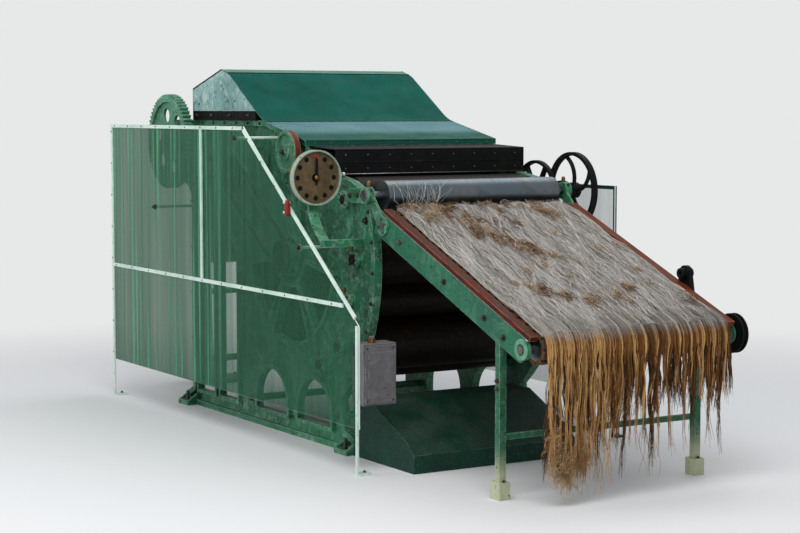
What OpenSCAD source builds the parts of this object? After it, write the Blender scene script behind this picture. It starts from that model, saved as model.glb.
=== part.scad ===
// Breaker carding machine for jute: side frames, carding rollers, sloping feed table and delivery end.
// X runs across the machine, negative on the gear side. Y runs from the feed to the delivery, Z up.

/* [Frames] */
// Clear width between the two side frames
frame_gap = 1200; // [1000:10:1400]
// Thickness of a side frame at its rims
frame_t = 50; // [36:1:70]
// Thickness of the web of a side frame
web_t = 20; // [12:1:30]
// Width of the raised rim along the outline of a side frame
rim_w = 34; // [24:1:50]
// Height of the flat top of the side frames above the axis of the main cylinder
frame_top = 802; // [780:1:820]
// Radius of the rounded front of the side frames
bend_r = 1000; // [980:5:1020]
// Height of the arched windows low in the side frames
arch_h = 260; // [220:5:280]
// Thickness of the foot flanges
foot_t = 30; // [20:1:40]
// Radius of the foundation bolt holes
bolt_r = 11; // [6:0.5:16]
// Radius of the round pads under the nuts of the stays
pad_r = 34; // [28:1:36]
// Height of those pads over the web
pad_t = 12; // [6:1:16]

/* [Carding rollers] */
// Radius of the main cylinder over its pins
cyl_r = 610; // [595:1:612]
// Height of the main cylinder's axis
cyl_z = 1080; // [1075:1:1085]
// Radius of the main cylinder's shaft
cyl_shaft_r = 45; // [30:1:55]
// Radius of the feed roller
feed_r = 127; // [110:1:130]
// Radius of a stripper roller
stripper_r = 150; // [130:1:150]
// Radius of a worker roller
worker_r = 100; // [80:1:100]
// Radius of the doffer
doffer_r = 190; // [170:1:192]
// Radius of a drawing roller
draw_r = 58; // [45:1:60]
// Radius of the journals of the smaller rollers
journal_r = 28; // [20:1:32]

/* [Feed table] */
// Slope of the feed table in degrees
table_slope = 22; // [20:0.5:23]
// Distance between the two apron rollers along the slope
table_l = 1430; // [1380:5:1450]
// Radius of an apron roller
apron_r = 60; // [50:1:64]
// Thickness of the apron's band
band_t = 6; // [4:1:8]
// Height of an apron slat
slat_h = 12; // [8:1:16]
// Width of an apron slat
slat_w = 40; // [30:1:50]
// Depth of the side plates of the table
side_h = 135; // [120:1:150]
// Thickness of the side plates of the table
side_t = 14; // [8:1:20]
// Height of the wooden rails on the side plates
rail_h = 26; // [18:1:40]
// Width of the wooden rails
rail_w = 48; // [30:1:60]
// Width of the square table legs
leg_w = 40; // [30:1:50]
// Thickness of the layer of jute on the table
jute_t = 26; // [12:1:30]

/* [Pressing roller] */
// Radius of the polished pressing roller
press_r = 82; // [70:1:85]
// Radius of its shaft
press_shaft_r = 24; // [16:1:28]
// Outer radius of the spoked wheel on its end
wheel_r = 225; // [200:5:230]
// Number of curved spokes
spoke_n = 5; // [4:1:7]

/* [Gears] */
// Gear module
gear_m = 10; // [9.8:0.1:10]
// Teeth of the large gear
gear_n = 60; // [60:1:60]
// Teeth of the pinion
pinion_n = 20; // [20:1:20]
// Width of the gear teeth
gear_face = 60; // [40:1:70]

/* [Hood] */
// Thickness of the hood's sheets
sheet_t = 5; // [3:1:8]
// Height of the ridge of the hood above the side frames
hood_top = 318; // [298:1:348]
// Height of the upright lip along the front edge of the hood
lip_h = 33; // [10:1:45]
// Radius of the fold between the lower and the upper sheet
fold_r = 350; // [100:10:400]
// Radius of the fold below the ridge
brow_r = 200; // [50:10:300]

/* [Guards] */
// Distance of the clear guards from the side frames
guard_x = 290; // [270:1:295]
// Thickness of a clear panel
panel_t = 6; // [4:1:8]
// Width of the flat bars round a panel
bar_w = 22; // [16:1:30]
// Thickness of the flat bars
bar_t = 10; // [6:1:12]

/* [Dial] */
// Radius of the dial
dial_r = 155; // [140:1:160]
// Height of the dial's centre above the pressing roller
dial_z = 95; // [65:1:115]

/* [Hidden] */
$fn = 64;

run_gap = 0.1;
seat_gap = 0.3;
clear_gap = 5;
frame_in = frame_gap / 2;
frame_out = frame_in + frame_t;
web_face = frame_in + web_t;
roll_half = frame_in - 20;
top_z = cyl_z + frame_top;
ridge_z = top_z + hood_top;

green = [0.10, 0.42, 0.30];
teal = [0.10, 0.34, 0.30];
pale_green = [0.50, 0.70, 0.58];
black_iron = [0.06, 0.07, 0.07];
steel = [0.60, 0.62, 0.65];
brown = [0.45, 0.32, 0.18];
rail_red = [0.55, 0.22, 0.12];
jute_col = [0.72, 0.60, 0.42];
clear_col = [0.75, 0.85, 0.82, 0.35];
grey = [0.45, 0.46, 0.47];

// Axes of the rollers as [y, z]
cyl_y = 100;
cyl_c = [cyl_y, cyl_z];
function round_cyl(dist, angle) = cyl_c + dist * [cos(angle), sin(angle)];
feed_c = round_cyl(cyl_r + feed_r + clear_gap + 1, 151);
stripper_c = [for (a = [178, 219.5]) round_cyl(cyl_r + stripper_r + clear_gap, a)];
worker_c = [for (a = [197.6, 239]) round_cyl(cyl_r + worker_r + clear_gap, a)];
doffer_c = round_cyl(cyl_r + doffer_r + clear_gap, 34.9);

// The large gear turns on a stud, and its pinion on the end of the lower drawing roller
gear_c = [1600, cyl_z + 660];
mesh_angle = 206;
mesh_dist = gear_m * (gear_n + pinion_n) / 2 + 0.5;
draw_c = [gear_c[0] + mesh_dist * cos(mesh_angle), gear_c[1] + mesh_dist * sin(mesh_angle)];
draw_up_c = [draw_c[0], draw_c[1] + 2 * draw_r + clear_gap];
gear_x = -frame_out - 60 - gear_face;
stud_r = 30;
idler_c = [cyl_y - 80, cyl_z + 620];
idler_r = 125;
idler_pin_r = 20;
idler_x = -frame_out - 70;

// Chain from the cylinder's shaft to the doffer on the gear side
chain_x = frame_out + 47;
chain_w = 22;
chain_t = 12;
chain_end = chain_x + chain_w + 8;
chain_wheels = [[cyl_c, 92, cyl_shaft_r], [doffer_c, 115, journal_r]];

// Belt pulleys on the far side
pulley_x = frame_out + 50;
pulley_w = 84;
pulley_r = 240;
pulley_step = pulley_w + 10;
pulley_rim = 14;
pulley_hub_r = 75;
pulley_arms = 6;
arm_t = 24;

// The pressing roller stands in front of the bend of the frames and clear of the feed roller
press_c = [min(cyl_y - bend_r + 40, feed_c[0] - feed_r - press_r - 101), cyl_z + 395];
press_half = frame_in - 25;
bracket_t = 14;
bearing_t = 40;

// Feed table: its slope starts at the axis of the lower apron roller, and ends at the pressing roller
belt_r = apron_r + seat_gap + band_t;
slat_top = belt_r + slat_h;
nip_gap = 28.2;
nip_angle = 47.8;
high_c = press_c - (slat_top + jute_t + nip_gap + press_r) * [cos(nip_angle), sin(nip_angle)];
low_c = high_c - table_l * [cos(table_slope), sin(table_slope)];
side_top = 60;
side_low = side_top - side_h;
side_in = frame_out - side_t;
apron_half = frame_in - 20;
bed_t = 6;
leg_y = low_c[0] + 220;
leg_foot = 90;
leg_stay_z = 300;
eye_r = 52;
eye_bore = 22;
table_pulley_x = frame_out + 22;
table_pulley_r = 105;
table_pulley_w = 36;

// Wheels on the far ends of the pressing roller and the feed roller
wheel_x = frame_out + bearing_t + 22;
wheel_t = 34;
rim_t = 20;
hub_r = 46;
feed_wheel_r = 205;
feed_wheel_x = frame_out + bracket_t + 10;
feed_wheel_t = 28;

// Hood outline as [y, z]
sill_h = 58;
sill_top = top_z + sill_h;
hood_foot = [cyl_y - 240, top_z - 145];
hood_knee = [cyl_y + 310, top_z + sheet_t + seat_gap];
hood_brow = [cyl_y + 760, sill_top + 0.885 * (hood_top - sill_h)];
hood_ridge = [cyl_y + 870, ridge_z];
hood_tail = [cyl_y + 1300, sill_top + 0.54 * (hood_top - sill_h)];
hood_rise = (hood_brow[1] - hood_knee[1]) / (hood_brow[0] - hood_knee[0]);
hood_half = frame_out + 20;
hood_lip = hood_foot + [0, lip_h];
function unit(v) = v / norm(v);
function fold(a, b, c, r) = let (u = unit(a - b), v = unit(c - b), half = acos(u * v) / 2,
    centre = b + unit(u + v) * r / sin(half), cut = r / tan(half))
    [for (t = [0 : 0.2 : 1]) centre + r * unit(b - centre + cut * (u * (1 - t) + v * t))];
knee_fold = fold(hood_lip, hood_knee, hood_brow, fold_r);
brow_fold = fold(hood_knee, hood_brow, hood_ridge, brow_r);
sill_front = hood_knee[0] + sill_h / hood_rise;
shroud_front = feed_c[0] + 80;
shroud_low = feed_c[1] + feed_r + 10;
shroud_high = hood_foot[1] - 13;

// Guards
guard_at = frame_out + guard_x;
guard_rear = 2120;
guard_high = top_z - 32;
guard_knee = cyl_y + 30;
guard_nose = [-1230, cyl_z - 280];
guard_low = 250;
guard_mid = guard_nose[1] + 100;
guard_split = 700;
far_front = -1000;
far_high = cyl_z + 420;
far_mid = cyl_z - 360;
rod_r = 9;

// Dial
dial_x = -guard_at + 90;
dial_y = press_c[0] + 280;
dial_at = press_c[1] + dial_z;
dial_t = 30;
stem_w = 60;
stem_t = 14;
stem_foot = [press_c[0] + 140, press_c[1] - 265];
pin_r = 5;
foot_edge = dial_r - dial_x;

// Jute that hangs over the lower roller
hang_gap = norm([slat_top, slat_w / 2]) + seat_gap;
hang_t = 48;
hang_out = hang_gap + hang_t;

// Delivery
cond_start = draw_c[0] + draw_r + 12;
cond_end = 2215;
cond_high = draw_c[1] + draw_r;
cond_low = cyl_z - 50;
cond_t = 5;
cond_wall = 110;
cond_wide = frame_in - 22;
cond_slim = 110;
cond_steps = 14;
function ease(t) = t * t * (3 - 2 * t);
cond_line = [for (i = [0 : cond_steps]) [cond_start + (cond_end - cond_start) * i / cond_steps,
    cond_high - (cond_high - cond_low) * ease(i / cond_steps)]];
cond_fall = (cond_line[0][1] - cond_line[1][1]) / (cond_line[1][0] - cond_line[0][0]);
stay_r = 22;
cond_seat = [cond_start + stay_r,
    cond_high - cond_t - cond_fall * stay_r - (stay_r + seat_gap) * norm([1, cond_fall])];
del_c = [cond_end + 85, cond_low - 100];
del_r = 72;
del_half = 150;
cheek_t = 22;

module across(x0, t) {
    translate([x0, 0, 0]) rotate([90, 0, 90]) linear_extrude(height = t) children();
}

module spot(c) {
    translate([c[0], c[1]]) children();
}

module roller(c, r, half, shaft_r, shaft_half) {
    across(-half, 2 * half) spot(c) circle(r, $fn = 96);
    across(-shaft_half, 2 * shaft_half) spot(c) circle(shaft_r);
}

module on_slope() {
    spot(low_c) rotate(table_slope) children();
}

// Side frame

bores = concat([[feed_c, journal_r], [doffer_c, journal_r], [draw_c, journal_r], [draw_up_c, journal_r]],
    [for (c = stripper_c) [c, journal_r]], [for (c = worker_c) [c, journal_r]]);
arc_low = 232;
arc_high = 157;
arc_step = 5;
foot_front = -700;
foot_rear = 1560;
foot_l = 140;
foot_h = 80;
flange_w = 70;
rear_y = 1480;
nose_y = 1700;
nose_z = top_z - 242;
window_in = 190;
window_out = 520;
window_z = 110;
window_rim = 0.6 * rim_w;
boss_t = 26;
hub_boss_r = 120;
hub_neck_r = 85;
hub_neck = 40;
gusset_t = 14;
pin_end = 14;
pad_face = web_face + pad_t;
rear_stay = [rear_y - 60, nose_z - 320];
stays = [[foot_front + 230, foot_h + 110], [rear_y - 840, foot_h + 70], [rear_y - 40, foot_h + 220],
    cond_seat, rear_stay, round_cyl(bend_r - 85, 164), [nose_y - 60, top_z - 42]];
rod_low = cyl_c + [-660, 100];
near_rods = [rod_low, [guard_knee + 120, guard_high - 70], rear_stay];
far_rods = [rod_low + [0, 40], rear_stay];

module frame_outline() {
    polygon(concat(
        [[foot_front, 0], [foot_front, foot_h], [foot_front + foot_l, foot_h + 40]],
        [for (a = [arc_low : -arc_step : arc_high]) round_cyl(bend_r, a)],
        [feed_c + [-90, 108], [shroud_front + sheet_t, shroud_low - seat_gap],
         hood_foot + [sheet_t + seat_gap, -sheet_t - seat_gap],
         hood_lip + [sheet_t + seat_gap, -sheet_t - seat_gap],
         [hood_knee[0], top_z], [nose_y, top_z], [nose_y, nose_z],
         [rear_y, nose_z - 240], [rear_y, foot_h + 40], [foot_rear, foot_h], [foot_rear, 0]]));
}

module sector_window(a0, a1) {
    polygon(concat([for (a = [a0 : 4 : a1]) round_cyl(window_out, a)],
        [for (a = [a1 : -4 : a0]) round_cyl(window_in, a)]));
}

module arch_window(y0, w, h) {
    r = w / 2;
    polygon(concat([[y0, window_z], [y0 + w, window_z]],
        [for (a = [0 : 6 : 180]) [y0 + r + r * cos(a), window_z + h - r + r * sin(a)]]));
}

module windows() {
    sector_window(246, 294);
    sector_window(190, 234);
    sector_window(306, 350);
    for (y0 = [cyl_y - 490, cyl_y + 50]) arch_window(y0, 400, arch_h);
    for (y0 = [rear_y - 660, rear_y - 330]) arch_window(y0, 250, 4 * arch_h);
}

module frame_web() {
    difference() {
        frame_outline();
        windows();
    }
}

module frame_rims() {
    difference() {
        frame_outline();
        offset(delta = -rim_w) frame_outline();
    }
    difference() {
        offset(delta = window_rim) windows();
        windows();
    }
}

module foot_gusset() {
    rotate([90, 0, 0]) linear_extrude(height = gusset_t)
        polygon([[frame_in, foot_t], [frame_out + flange_w - 6, foot_t], [frame_out, foot_h - 6],
            [frame_in, foot_h - 6]]);
}

module side_frame_body(rods) {
    difference() {
        union() {
            across(frame_in, web_t) frame_web();
            across(frame_in, frame_t) frame_rims();
            across(frame_in, frame_t) spot(cyl_c) circle(hub_boss_r);
            across(frame_in, frame_t + hub_neck) spot(cyl_c) circle(hub_neck_r);
            for (b = bores) across(frame_in, frame_t) spot(b[0]) circle(b[1] + boss_t);
            for (c = concat(stays, rods)) across(frame_in, web_t + pad_t) spot(c) circle(pad_r);
            for (y = [foot_front, foot_rear - foot_l]) {
                translate([frame_in, y, 0]) cube([frame_t + flange_w, foot_l, foot_t]);
                for (end = [y + gusset_t, y + foot_l]) translate([0, end, 0]) foot_gusset();
            }
        }
        across(frame_in - 1, frame_t + hub_neck + 2) spot(cyl_c) circle(cyl_shaft_r + run_gap);
        for (b = bores) across(frame_in - 1, frame_t + 2) spot(b[0]) circle(b[1] + run_gap);
        for (y = [foot_front + foot_l / 2, foot_rear - foot_l / 2])
            translate([frame_out + flange_w / 2, y, -1]) cylinder(r = bolt_r, h = foot_t + 2);
    }
}

module side_frame_near() {
    color(green) {
        mirror([1, 0, 0]) side_frame_body(near_rods);
        across(gear_x - pin_end, -frame_out - gear_x + pin_end) spot(gear_c) circle(stud_r);
        across(idler_x - pin_end, -frame_out - idler_x + pin_end) spot(idler_c) circle(idler_pin_r);
        for (s = [[gear_c, stud_r], [idler_c, idler_pin_r]])
            across(-frame_out, frame_t - web_t) spot(s[0]) circle(s[1] + 24);
    }
}

module side_frame_far() {
    color(green) side_frame_body(far_rods);
}

module cross_stays() {
    color(green) for (c = stays) across(-frame_in, frame_gap) spot(c) circle(stay_r, $fn = 32);
}

// Carding rollers

module main_cylinder() {
    color(steel) difference() {
        union() {
            roller(cyl_c, cyl_r, roll_half, cyl_shaft_r, chain_end);
            across(0, pulley_x + pulley_step + pulley_w + 30) spot(cyl_c) circle(cyl_shaft_r);
        }
        for (x = [-roll_half - 1, roll_half - 39]) across(x, 40) difference() {
            spot(cyl_c) circle(cyl_r - 45, $fn = 96);
            spot(cyl_c) circle(95);
        }
    }
}

module worker_rollers() {
    color(steel) for (c = worker_c) roller(c, worker_r, roll_half, journal_r, frame_out + 16);
}

module stripper_rollers() {
    color(steel) for (c = stripper_c) roller(c, stripper_r, roll_half, journal_r, frame_out + 16);
}

module doffer() {
    color(steel) {
        roller(doffer_c, doffer_r, roll_half, journal_r, frame_out + 16);
        across(-chain_end, chain_end) spot(doffer_c) circle(journal_r);
    }
}

module drawing_roller_lower() {
    color(steel) {
        roller(draw_c, draw_r, roll_half, journal_r, frame_out + 8);
        across(gear_x - 10, -gear_x) spot(draw_c) circle(journal_r);
    }
}

module drawing_roller_upper() {
    color(brown) roller(draw_up_c, draw_r, roll_half, journal_r, frame_out + 8);
}

module feed_roller() {
    color(black_iron) {
        roller(feed_c, feed_r, roll_half, journal_r, frame_out + 8);
        across(0, feed_wheel_x + feed_wheel_t + 8) spot(feed_c) circle(journal_r);
    }
}

module feed_shell() {
    gap = feed_r + clear_gap + 1;
    color(black_iron) across(-frame_in, frame_gap) difference() {
        spot(feed_c) circle(gap + 26, $fn = 96);
        spot(feed_c) circle(gap, $fn = 96);
        spot(feed_c) polygon([[0, 0], 400 * [cos(290), sin(290)], [400, 400], [-400, 400], [-400, 0]]);
    }
}

module roller_shroud() {
    back = shroud_front + sheet_t;
    end = hood_foot + [sheet_t, 0];
    color(black_iron) across(-frame_out, 2 * frame_out) polygon([[shroud_front, shroud_low],
        [shroud_front, shroud_high], hood_foot, end, end - [0, sheet_t], [back, shroud_high - sheet_t],
        [back, shroud_low]]);
}

// Wheels

module spoke() {
    k = 90;
    chord = wheel_r - rim_t;
    arc = sqrt(chord * chord / 4 + k * k);
    intersection() {
        translate([chord / 2, -k]) difference() {
            circle(arc + 8);
            circle(arc - 8);
        }
        difference() {
            circle(wheel_r - rim_t / 2);
            circle(hub_r - 8);
        }
        translate([0, -12]) square([wheel_r, wheel_r]);
    }
}

module spoked_wheel() {
    color(black_iron) difference() {
        union() {
            across(wheel_x, wheel_t) spot(press_c) difference() {
                circle(wheel_r, $fn = 96);
                circle(wheel_r - rim_t, $fn = 96);
            }
            across(wheel_x + 8, wheel_t - 16) spot(press_c)
                for (i = [0 : spoke_n - 1]) rotate(i * 360 / spoke_n) spoke();
            across(wheel_x - 14, wheel_t + 28) spot(press_c) circle(hub_r);
        }
        across(wheel_x - 20, wheel_t + 40) spot(press_c) circle(press_shaft_r + run_gap);
    }
}

module feed_wheel() {
    arm_n = 6;
    color(black_iron) difference() {
        across(feed_wheel_x, feed_wheel_t) spot(feed_c) {
            difference() {
                circle(feed_wheel_r, $fn = 96);
                circle(feed_wheel_r - 18, $fn = 96);
            }
            circle(54);
            for (i = [0 : arm_n - 1]) rotate(i * 360 / arm_n)
                translate([40, -9]) square([feed_wheel_r - 50, 18]);
        }
        across(feed_wheel_x - 1, feed_wheel_t + 2) spot(feed_c) circle(journal_r + run_gap);
    }
}

module press_roller() {
    color(steel) {
        roller(press_c, press_r, press_half, press_shaft_r, frame_out + bearing_t + 6);
        across(0, wheel_x + wheel_t + 24) spot(press_c) circle(press_shaft_r);
    }
}

module press_bracket() {
    foot = feed_c + [-110, 30];
    difference() {
        union() {
            across(frame_out, bracket_t) {
                hull() {
                    spot(press_c) circle(46, $fn = 32);
                    spot(foot) circle(40, $fn = 32);
                }
                hull() {
                    spot(press_c) circle(30, $fn = 32);
                    spot(high_c) circle(34, $fn = 32);
                }
                spot(high_c) circle(eye_r);
            }
            across(frame_out, bearing_t) spot(press_c) circle(50);
        }
        across(frame_out - 1, bearing_t + 2) spot(press_c) circle(press_shaft_r + run_gap);
        across(frame_out - 1, bracket_t + 2) spot(high_c) circle(eye_bore + run_gap);
    }
}

module press_bracket_near() {
    color(green) mirror([1, 0, 0]) press_bracket();
}

module press_bracket_far() {
    color(green) press_bracket();
}

// Hood

module hood_sheet(line) {
    n = len(line) - 1;
    across(-hood_half, 2 * hood_half)
        polygon(concat(line, [for (i = [n : -1 : 0]) line[i] - [0, sheet_t]]));
}

module hood_front_lower() {
    color(teal) across(-hood_half, 2 * hood_half) polygon([hood_foot, hood_lip, knee_fold[0],
        knee_fold[0] - [0, sheet_t], hood_lip + [sheet_t, -sheet_t], hood_foot + [sheet_t, 0]]);
}

module hood_front_upper() {
    color(teal) hood_sheet(concat(knee_fold, brow_fold, [hood_ridge]));
}

module hood_back() {
    inner = hood_tail[0] - sheet_t;
    color(teal) across(-hood_half, 2 * hood_half) polygon([hood_ridge, hood_tail, [hood_tail[0], top_z],
        [inner, top_z], [inner, hood_tail[1] - sheet_t], hood_ridge - [0, sheet_t]]);
}

module hood_end_shape() {
    polygon(concat([[sill_front + 2, sill_top]], [for (p = brow_fold) p - [0, sheet_t]],
        [hood_ridge - [0, sheet_t], hood_tail - [sheet_t, sheet_t], [hood_tail[0] - sheet_t, sill_top]]));
}

module hood_end_near() {
    color(pale_green) across(-hood_half, sheet_t) hood_end_shape();
}

module hood_end_far() {
    color(pale_green) across(hood_half - sheet_t, sheet_t) hood_end_shape();
}

module hood_sills() {
    color(black_iron) for (x = [-hood_half, frame_in]) across(x, hood_half - frame_in)
        translate([sill_front, top_z]) square([hood_tail[0] - sheet_t - sill_front, sill_h]);
}

// Feed table

module table_side() {
    difference() {
        union() {
            across(side_in, side_t) on_slope() hull() {
                translate([10, side_low + 20]) circle(20, $fn = 24);
                translate([10, side_top - 20]) circle(20, $fn = 24);
                translate([table_l + 60, side_low]) square([20, side_h]);
            }
            across(side_in, side_t + 10) spot(low_c) circle(eye_r);
        }
        for (c = [low_c, high_c]) across(side_in - 1, side_t + 20) spot(c) circle(eye_bore + run_gap);
    }
}

module table_side_near() {
    color(green) mirror([1, 0, 0]) table_side();
}

module table_side_far() {
    color(green) table_side();
}

module rail() {
    across(frame_out - rail_w, rail_w) on_slope()
        translate([-30, side_top]) square([table_l + 60, rail_h]);
}

module rail_near() {
    color(rail_red) mirror([1, 0, 0]) rail();
}

module rail_far() {
    color(rail_red) rail();
}

module table_bed() {
    color(black_iron) {
        across(-apron_half, 2 * apron_half) on_slope()
            translate([apron_r + 10, apron_r - bed_t]) square([table_l - 2 * apron_r - 20, bed_t]);
        for (s = [120, 560, 1000, table_l - 110]) across(-side_in, 2 * side_in) on_slope()
            translate([s, apron_r - bed_t - 40]) square([30, 41]);
    }
}

module apron() {
    slat_n = 20;
    slat_step = table_l / slat_n;
    end_n = 3;
    color(brown) across(-apron_half, 2 * apron_half) on_slope() difference() {
        union() {
            circle(belt_r);
            translate([table_l, 0]) circle(belt_r);
            translate([0, -belt_r]) square([table_l, 2 * belt_r]);
            for (i = [0 : slat_n], side = [-1, 1])
                translate([i * slat_step - slat_w / 2, side > 0 ? belt_r - 1 : -slat_top])
                    square([slat_w, slat_h + 1]);
            for (i = [1 : end_n], e = [0, 1])
                translate([e * table_l, 0]) rotate(e * 180 + 90 + i * 180 / (end_n + 1))
                    translate([belt_r - 2, -slat_w / 2]) square([slat_h + 2, slat_w]);
        }
        circle(belt_r - band_t);
        translate([table_l, 0]) circle(belt_r - band_t);
        translate([0, -belt_r + band_t]) square([table_l, 2 * (belt_r - band_t)]);
    }
}

module apron_rollers() {
    color(steel) {
        for (c = [low_c, high_c]) roller(c, apron_r, apron_half, eye_bore, frame_out + 18);
        across(0, table_pulley_x + table_pulley_w + 8) spot(low_c) circle(eye_bore);
    }
}

module table_pulley() {
    flange_t = 7;
    color(black_iron) difference() {
        union() {
            across(table_pulley_x, table_pulley_w) spot(low_c) circle(table_pulley_r - 14);
            for (x = [table_pulley_x, table_pulley_x + table_pulley_w - flange_t])
                across(x, flange_t) spot(low_c) circle(table_pulley_r);
        }
        across(table_pulley_x - 1, table_pulley_w + 2) spot(low_c) circle(eye_bore + run_gap);
    }
}

module rail_bracket() {
    seat = low_c + [350, 141];
    eye = seat + [0, 150];
    color(black_iron) difference() {
        union() {
            across(frame_out, 24) hull() {
                spot(seat) rotate(table_slope) square([120, 70], center = true);
                spot(eye) circle(42, $fn = 32);
            }
            across(frame_out - 30, 74) spot(eye) circle(28);
        }
        across(frame_out - 31, 76) spot(eye) circle(12);
    }
}

module table_legs() {
    top = low_c[1] + (leg_y + leg_w / 2 - low_c[0]) * tan(table_slope) + side_low / cos(table_slope);
    color(green) {
        difference() {
            for (x = [-frame_out, frame_out - leg_w]) {
                translate([x, leg_y - leg_w / 2, 0]) cube([leg_w, leg_w, top + 30]);
                translate([x - 12, leg_y - leg_w, 0]) cube([leg_w + 24, 2 * leg_w, leg_foot]);
            }
            across(-frame_out - 1, 2 * frame_out + 2) on_slope()
                translate([-200, side_low - seat_gap]) square([600, side_h + 200]);
        }
        translate([leg_w + seat_gap - frame_out, leg_y - 10, leg_stay_z])
            cube([2 * (frame_out - leg_w - seat_gap), 20, 30]);
    }
}

module jute_layer() {
    color(jute_col) across(-apron_half + 8, 2 * apron_half - 16) on_slope()
        translate([0.3, slat_top + seat_gap]) square([table_l + 40, jute_t]);
}

module jute_drape() {
    drape_w = 2 * apron_half + 10;
    drape_x = -apron_half - 12;
    edges = [0, 0.427, 0.709, 1];
    bottoms = [90, 240, 430];
    color(jute_col) {
        for (i = [0 : len(bottoms) - 1])
            across(drape_x + drape_w * edges[i], drape_w * (edges[i + 1] - edges[i])) spot(low_c)
                translate([-hang_out, bottoms[i] - low_c[1]]) square([hang_t, low_c[1] - bottoms[i]]);
        across(drape_x, drape_w) spot(low_c) difference() {
            circle(hang_out, $fn = 72);
            circle(hang_gap, $fn = 72);
            polygon([[0, 0], 300 * [-sin(table_slope), cos(table_slope)], [0, 400], [400, 0], [0, -400],
                [-400, -400], [-400, 0]]);
        }
    }
}

// Dial

module facing_feed(y0, t) {
    translate([dial_x, y0 + t, dial_at]) rotate([90, 0, 0]) linear_extrude(height = t) children();
}

module dial() {
    color(brown) {
        facing_feed(dial_y - dial_t / 2, dial_t) circle(dial_r - 8);
        facing_feed(dial_y - dial_t / 2 - 4, dial_t) difference() {
            circle(dial_r);
            circle(dial_r - 10);
        }
        facing_feed(dial_y - dial_t / 2 - 18, 20) circle(pin_r);
    }
}

module dial_bracket() {
    back = dial_y + dial_t / 2;
    top = [back, dial_at - dial_r - clear_gap];
    steps = 10;
    line = concat([[back, dial_at]], [for (i = [0 : steps])
        [back + (stem_foot[0] - back) * pow(i / steps, 2), top[1] + (stem_foot[1] - top[1]) * i / steps]]);
    color(green) {
        facing_feed(back, stem_t) circle(dial_r / 2);
        across(dial_x - stem_w / 2, stem_w)
            polygon(concat(line, [for (i = [len(line) - 1 : -1 : 0]) line[i] + [stem_t, 0]]));
        across(dial_x - stem_w / 2, -web_face - dial_x + stem_w / 2)
            spot(stem_foot - [20, 20]) square([40, 40]);
    }
}

module dial_hand() {
    face = dial_y - dial_t / 2;
    color(black_iron) difference() {
        union() {
            facing_feed(face - 12, 10) circle(16);
            facing_feed(face - 12, 4) polygon([[-7, -40], [7, -40], [9, 0], [2, 112], [-2, 112], [-9, 0]]);
        }
        facing_feed(face - 20, 30) circle(pin_r + run_gap);
    }
}

// Gears

pressure = 20;
backlash = 1.6;
deg = 180 / PI;
function involute(a) = tan(a) - a / deg;
function half_tooth(n, r) = (90 - backlash / gear_m / 2 * deg) / n
    + deg * (involute(pressure) - involute(acos(min(1, gear_m * n / 2 * cos(pressure) / r))));
function tooth_radii(n) = [gear_m * (n / 2 - 1.25), gear_m * (n / 2 - 0.55), gear_m * n / 2,
    gear_m * (n / 2 + 0.5), gear_m * (n / 2 + 0.95)];

module toothed_disc(n) {
    radii = tooth_radii(n);
    circle(radii[0] + 1, $fn = 2 * n);
    for (i = [0 : n - 1]) rotate(i * 360 / n)
        polygon(concat([for (r = radii) r * [cos(half_tooth(n, r)), sin(half_tooth(n, r))]],
            [for (j = [len(radii) - 1 : -1 : 0])
                radii[j] * [cos(half_tooth(n, radii[j])), -sin(half_tooth(n, radii[j]))]]));
}

module gear_large() {
    hole_n = 6;
    hole_ring = gear_m * gear_n / 2 * 0.58;
    color(pale_green) difference() {
        union() {
            across(gear_x, gear_face) spot(gear_c) rotate(mesh_angle) difference() {
                toothed_disc(gear_n);
                circle(gear_m * gear_n / 2 - 40, $fn = 96);
            }
            across(gear_x + gear_face / 2 - 10, 20) spot(gear_c) difference() {
                circle(gear_m * gear_n / 2 - 36, $fn = 96);
                for (i = [0 : hole_n - 1]) rotate(i * 360 / hole_n + 15)
                    translate([hole_ring, 0]) circle(48, $fn = 32);
            }
            across(gear_x, gear_face + 20) spot(gear_c) circle(62);
        }
        across(gear_x - 1, gear_face + 30) spot(gear_c) circle(stud_r + run_gap);
    }
}

module pinion() {
    color(pale_green) difference() {
        union() {
            across(gear_x - 5, gear_face + 10) spot(draw_c) rotate(mesh_angle + 180 + 180 / pinion_n)
                toothed_disc(pinion_n);
            across(gear_x, gear_face + 25) spot(draw_c) circle(50);
        }
        across(gear_x - 10, gear_face + 60) spot(draw_c) circle(journal_r + run_gap);
    }
}

module idler_wheel() {
    color(brown) difference() {
        union() {
            across(idler_x, 40) spot(idler_c) circle(idler_r);
            across(idler_x, 60) spot(idler_c) circle(45);
        }
        across(idler_x - 1, 14) spot(idler_c) difference() {
            circle(idler_r - 18);
            circle(45);
        }
        across(idler_x - 1, 70) spot(idler_c) circle(idler_pin_r + run_gap);
    }
}

module doffer_chain() {
    color(black_iron) {
        for (w = chain_wheels) difference() {
            across(-chain_x - chain_w, chain_w) spot(w[0]) circle(w[1]);
            across(-chain_x - chain_w - 1, 8) spot(w[0]) difference() {
                circle(w[1] - 14);
                circle(w[2] + 16);
            }
            across(-chain_x - chain_w - 1, chain_w + 2) spot(w[0]) circle(w[2] + run_gap);
        }
        across(-chain_x - chain_w + 3, chain_w - 6) difference() {
            hull() for (w = chain_wheels) spot(w[0]) circle(w[1] + seat_gap + chain_t);
            hull() for (w = chain_wheels) spot(w[0]) circle(w[1] + seat_gap);
        }
    }
}

module pulley_arm() {
    reach = pulley_r - pulley_rim / 2;
    polygon([[pulley_hub_r - 10, -26], [reach, -17], [reach, 17], [pulley_hub_r - 10, 26]]);
}

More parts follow.
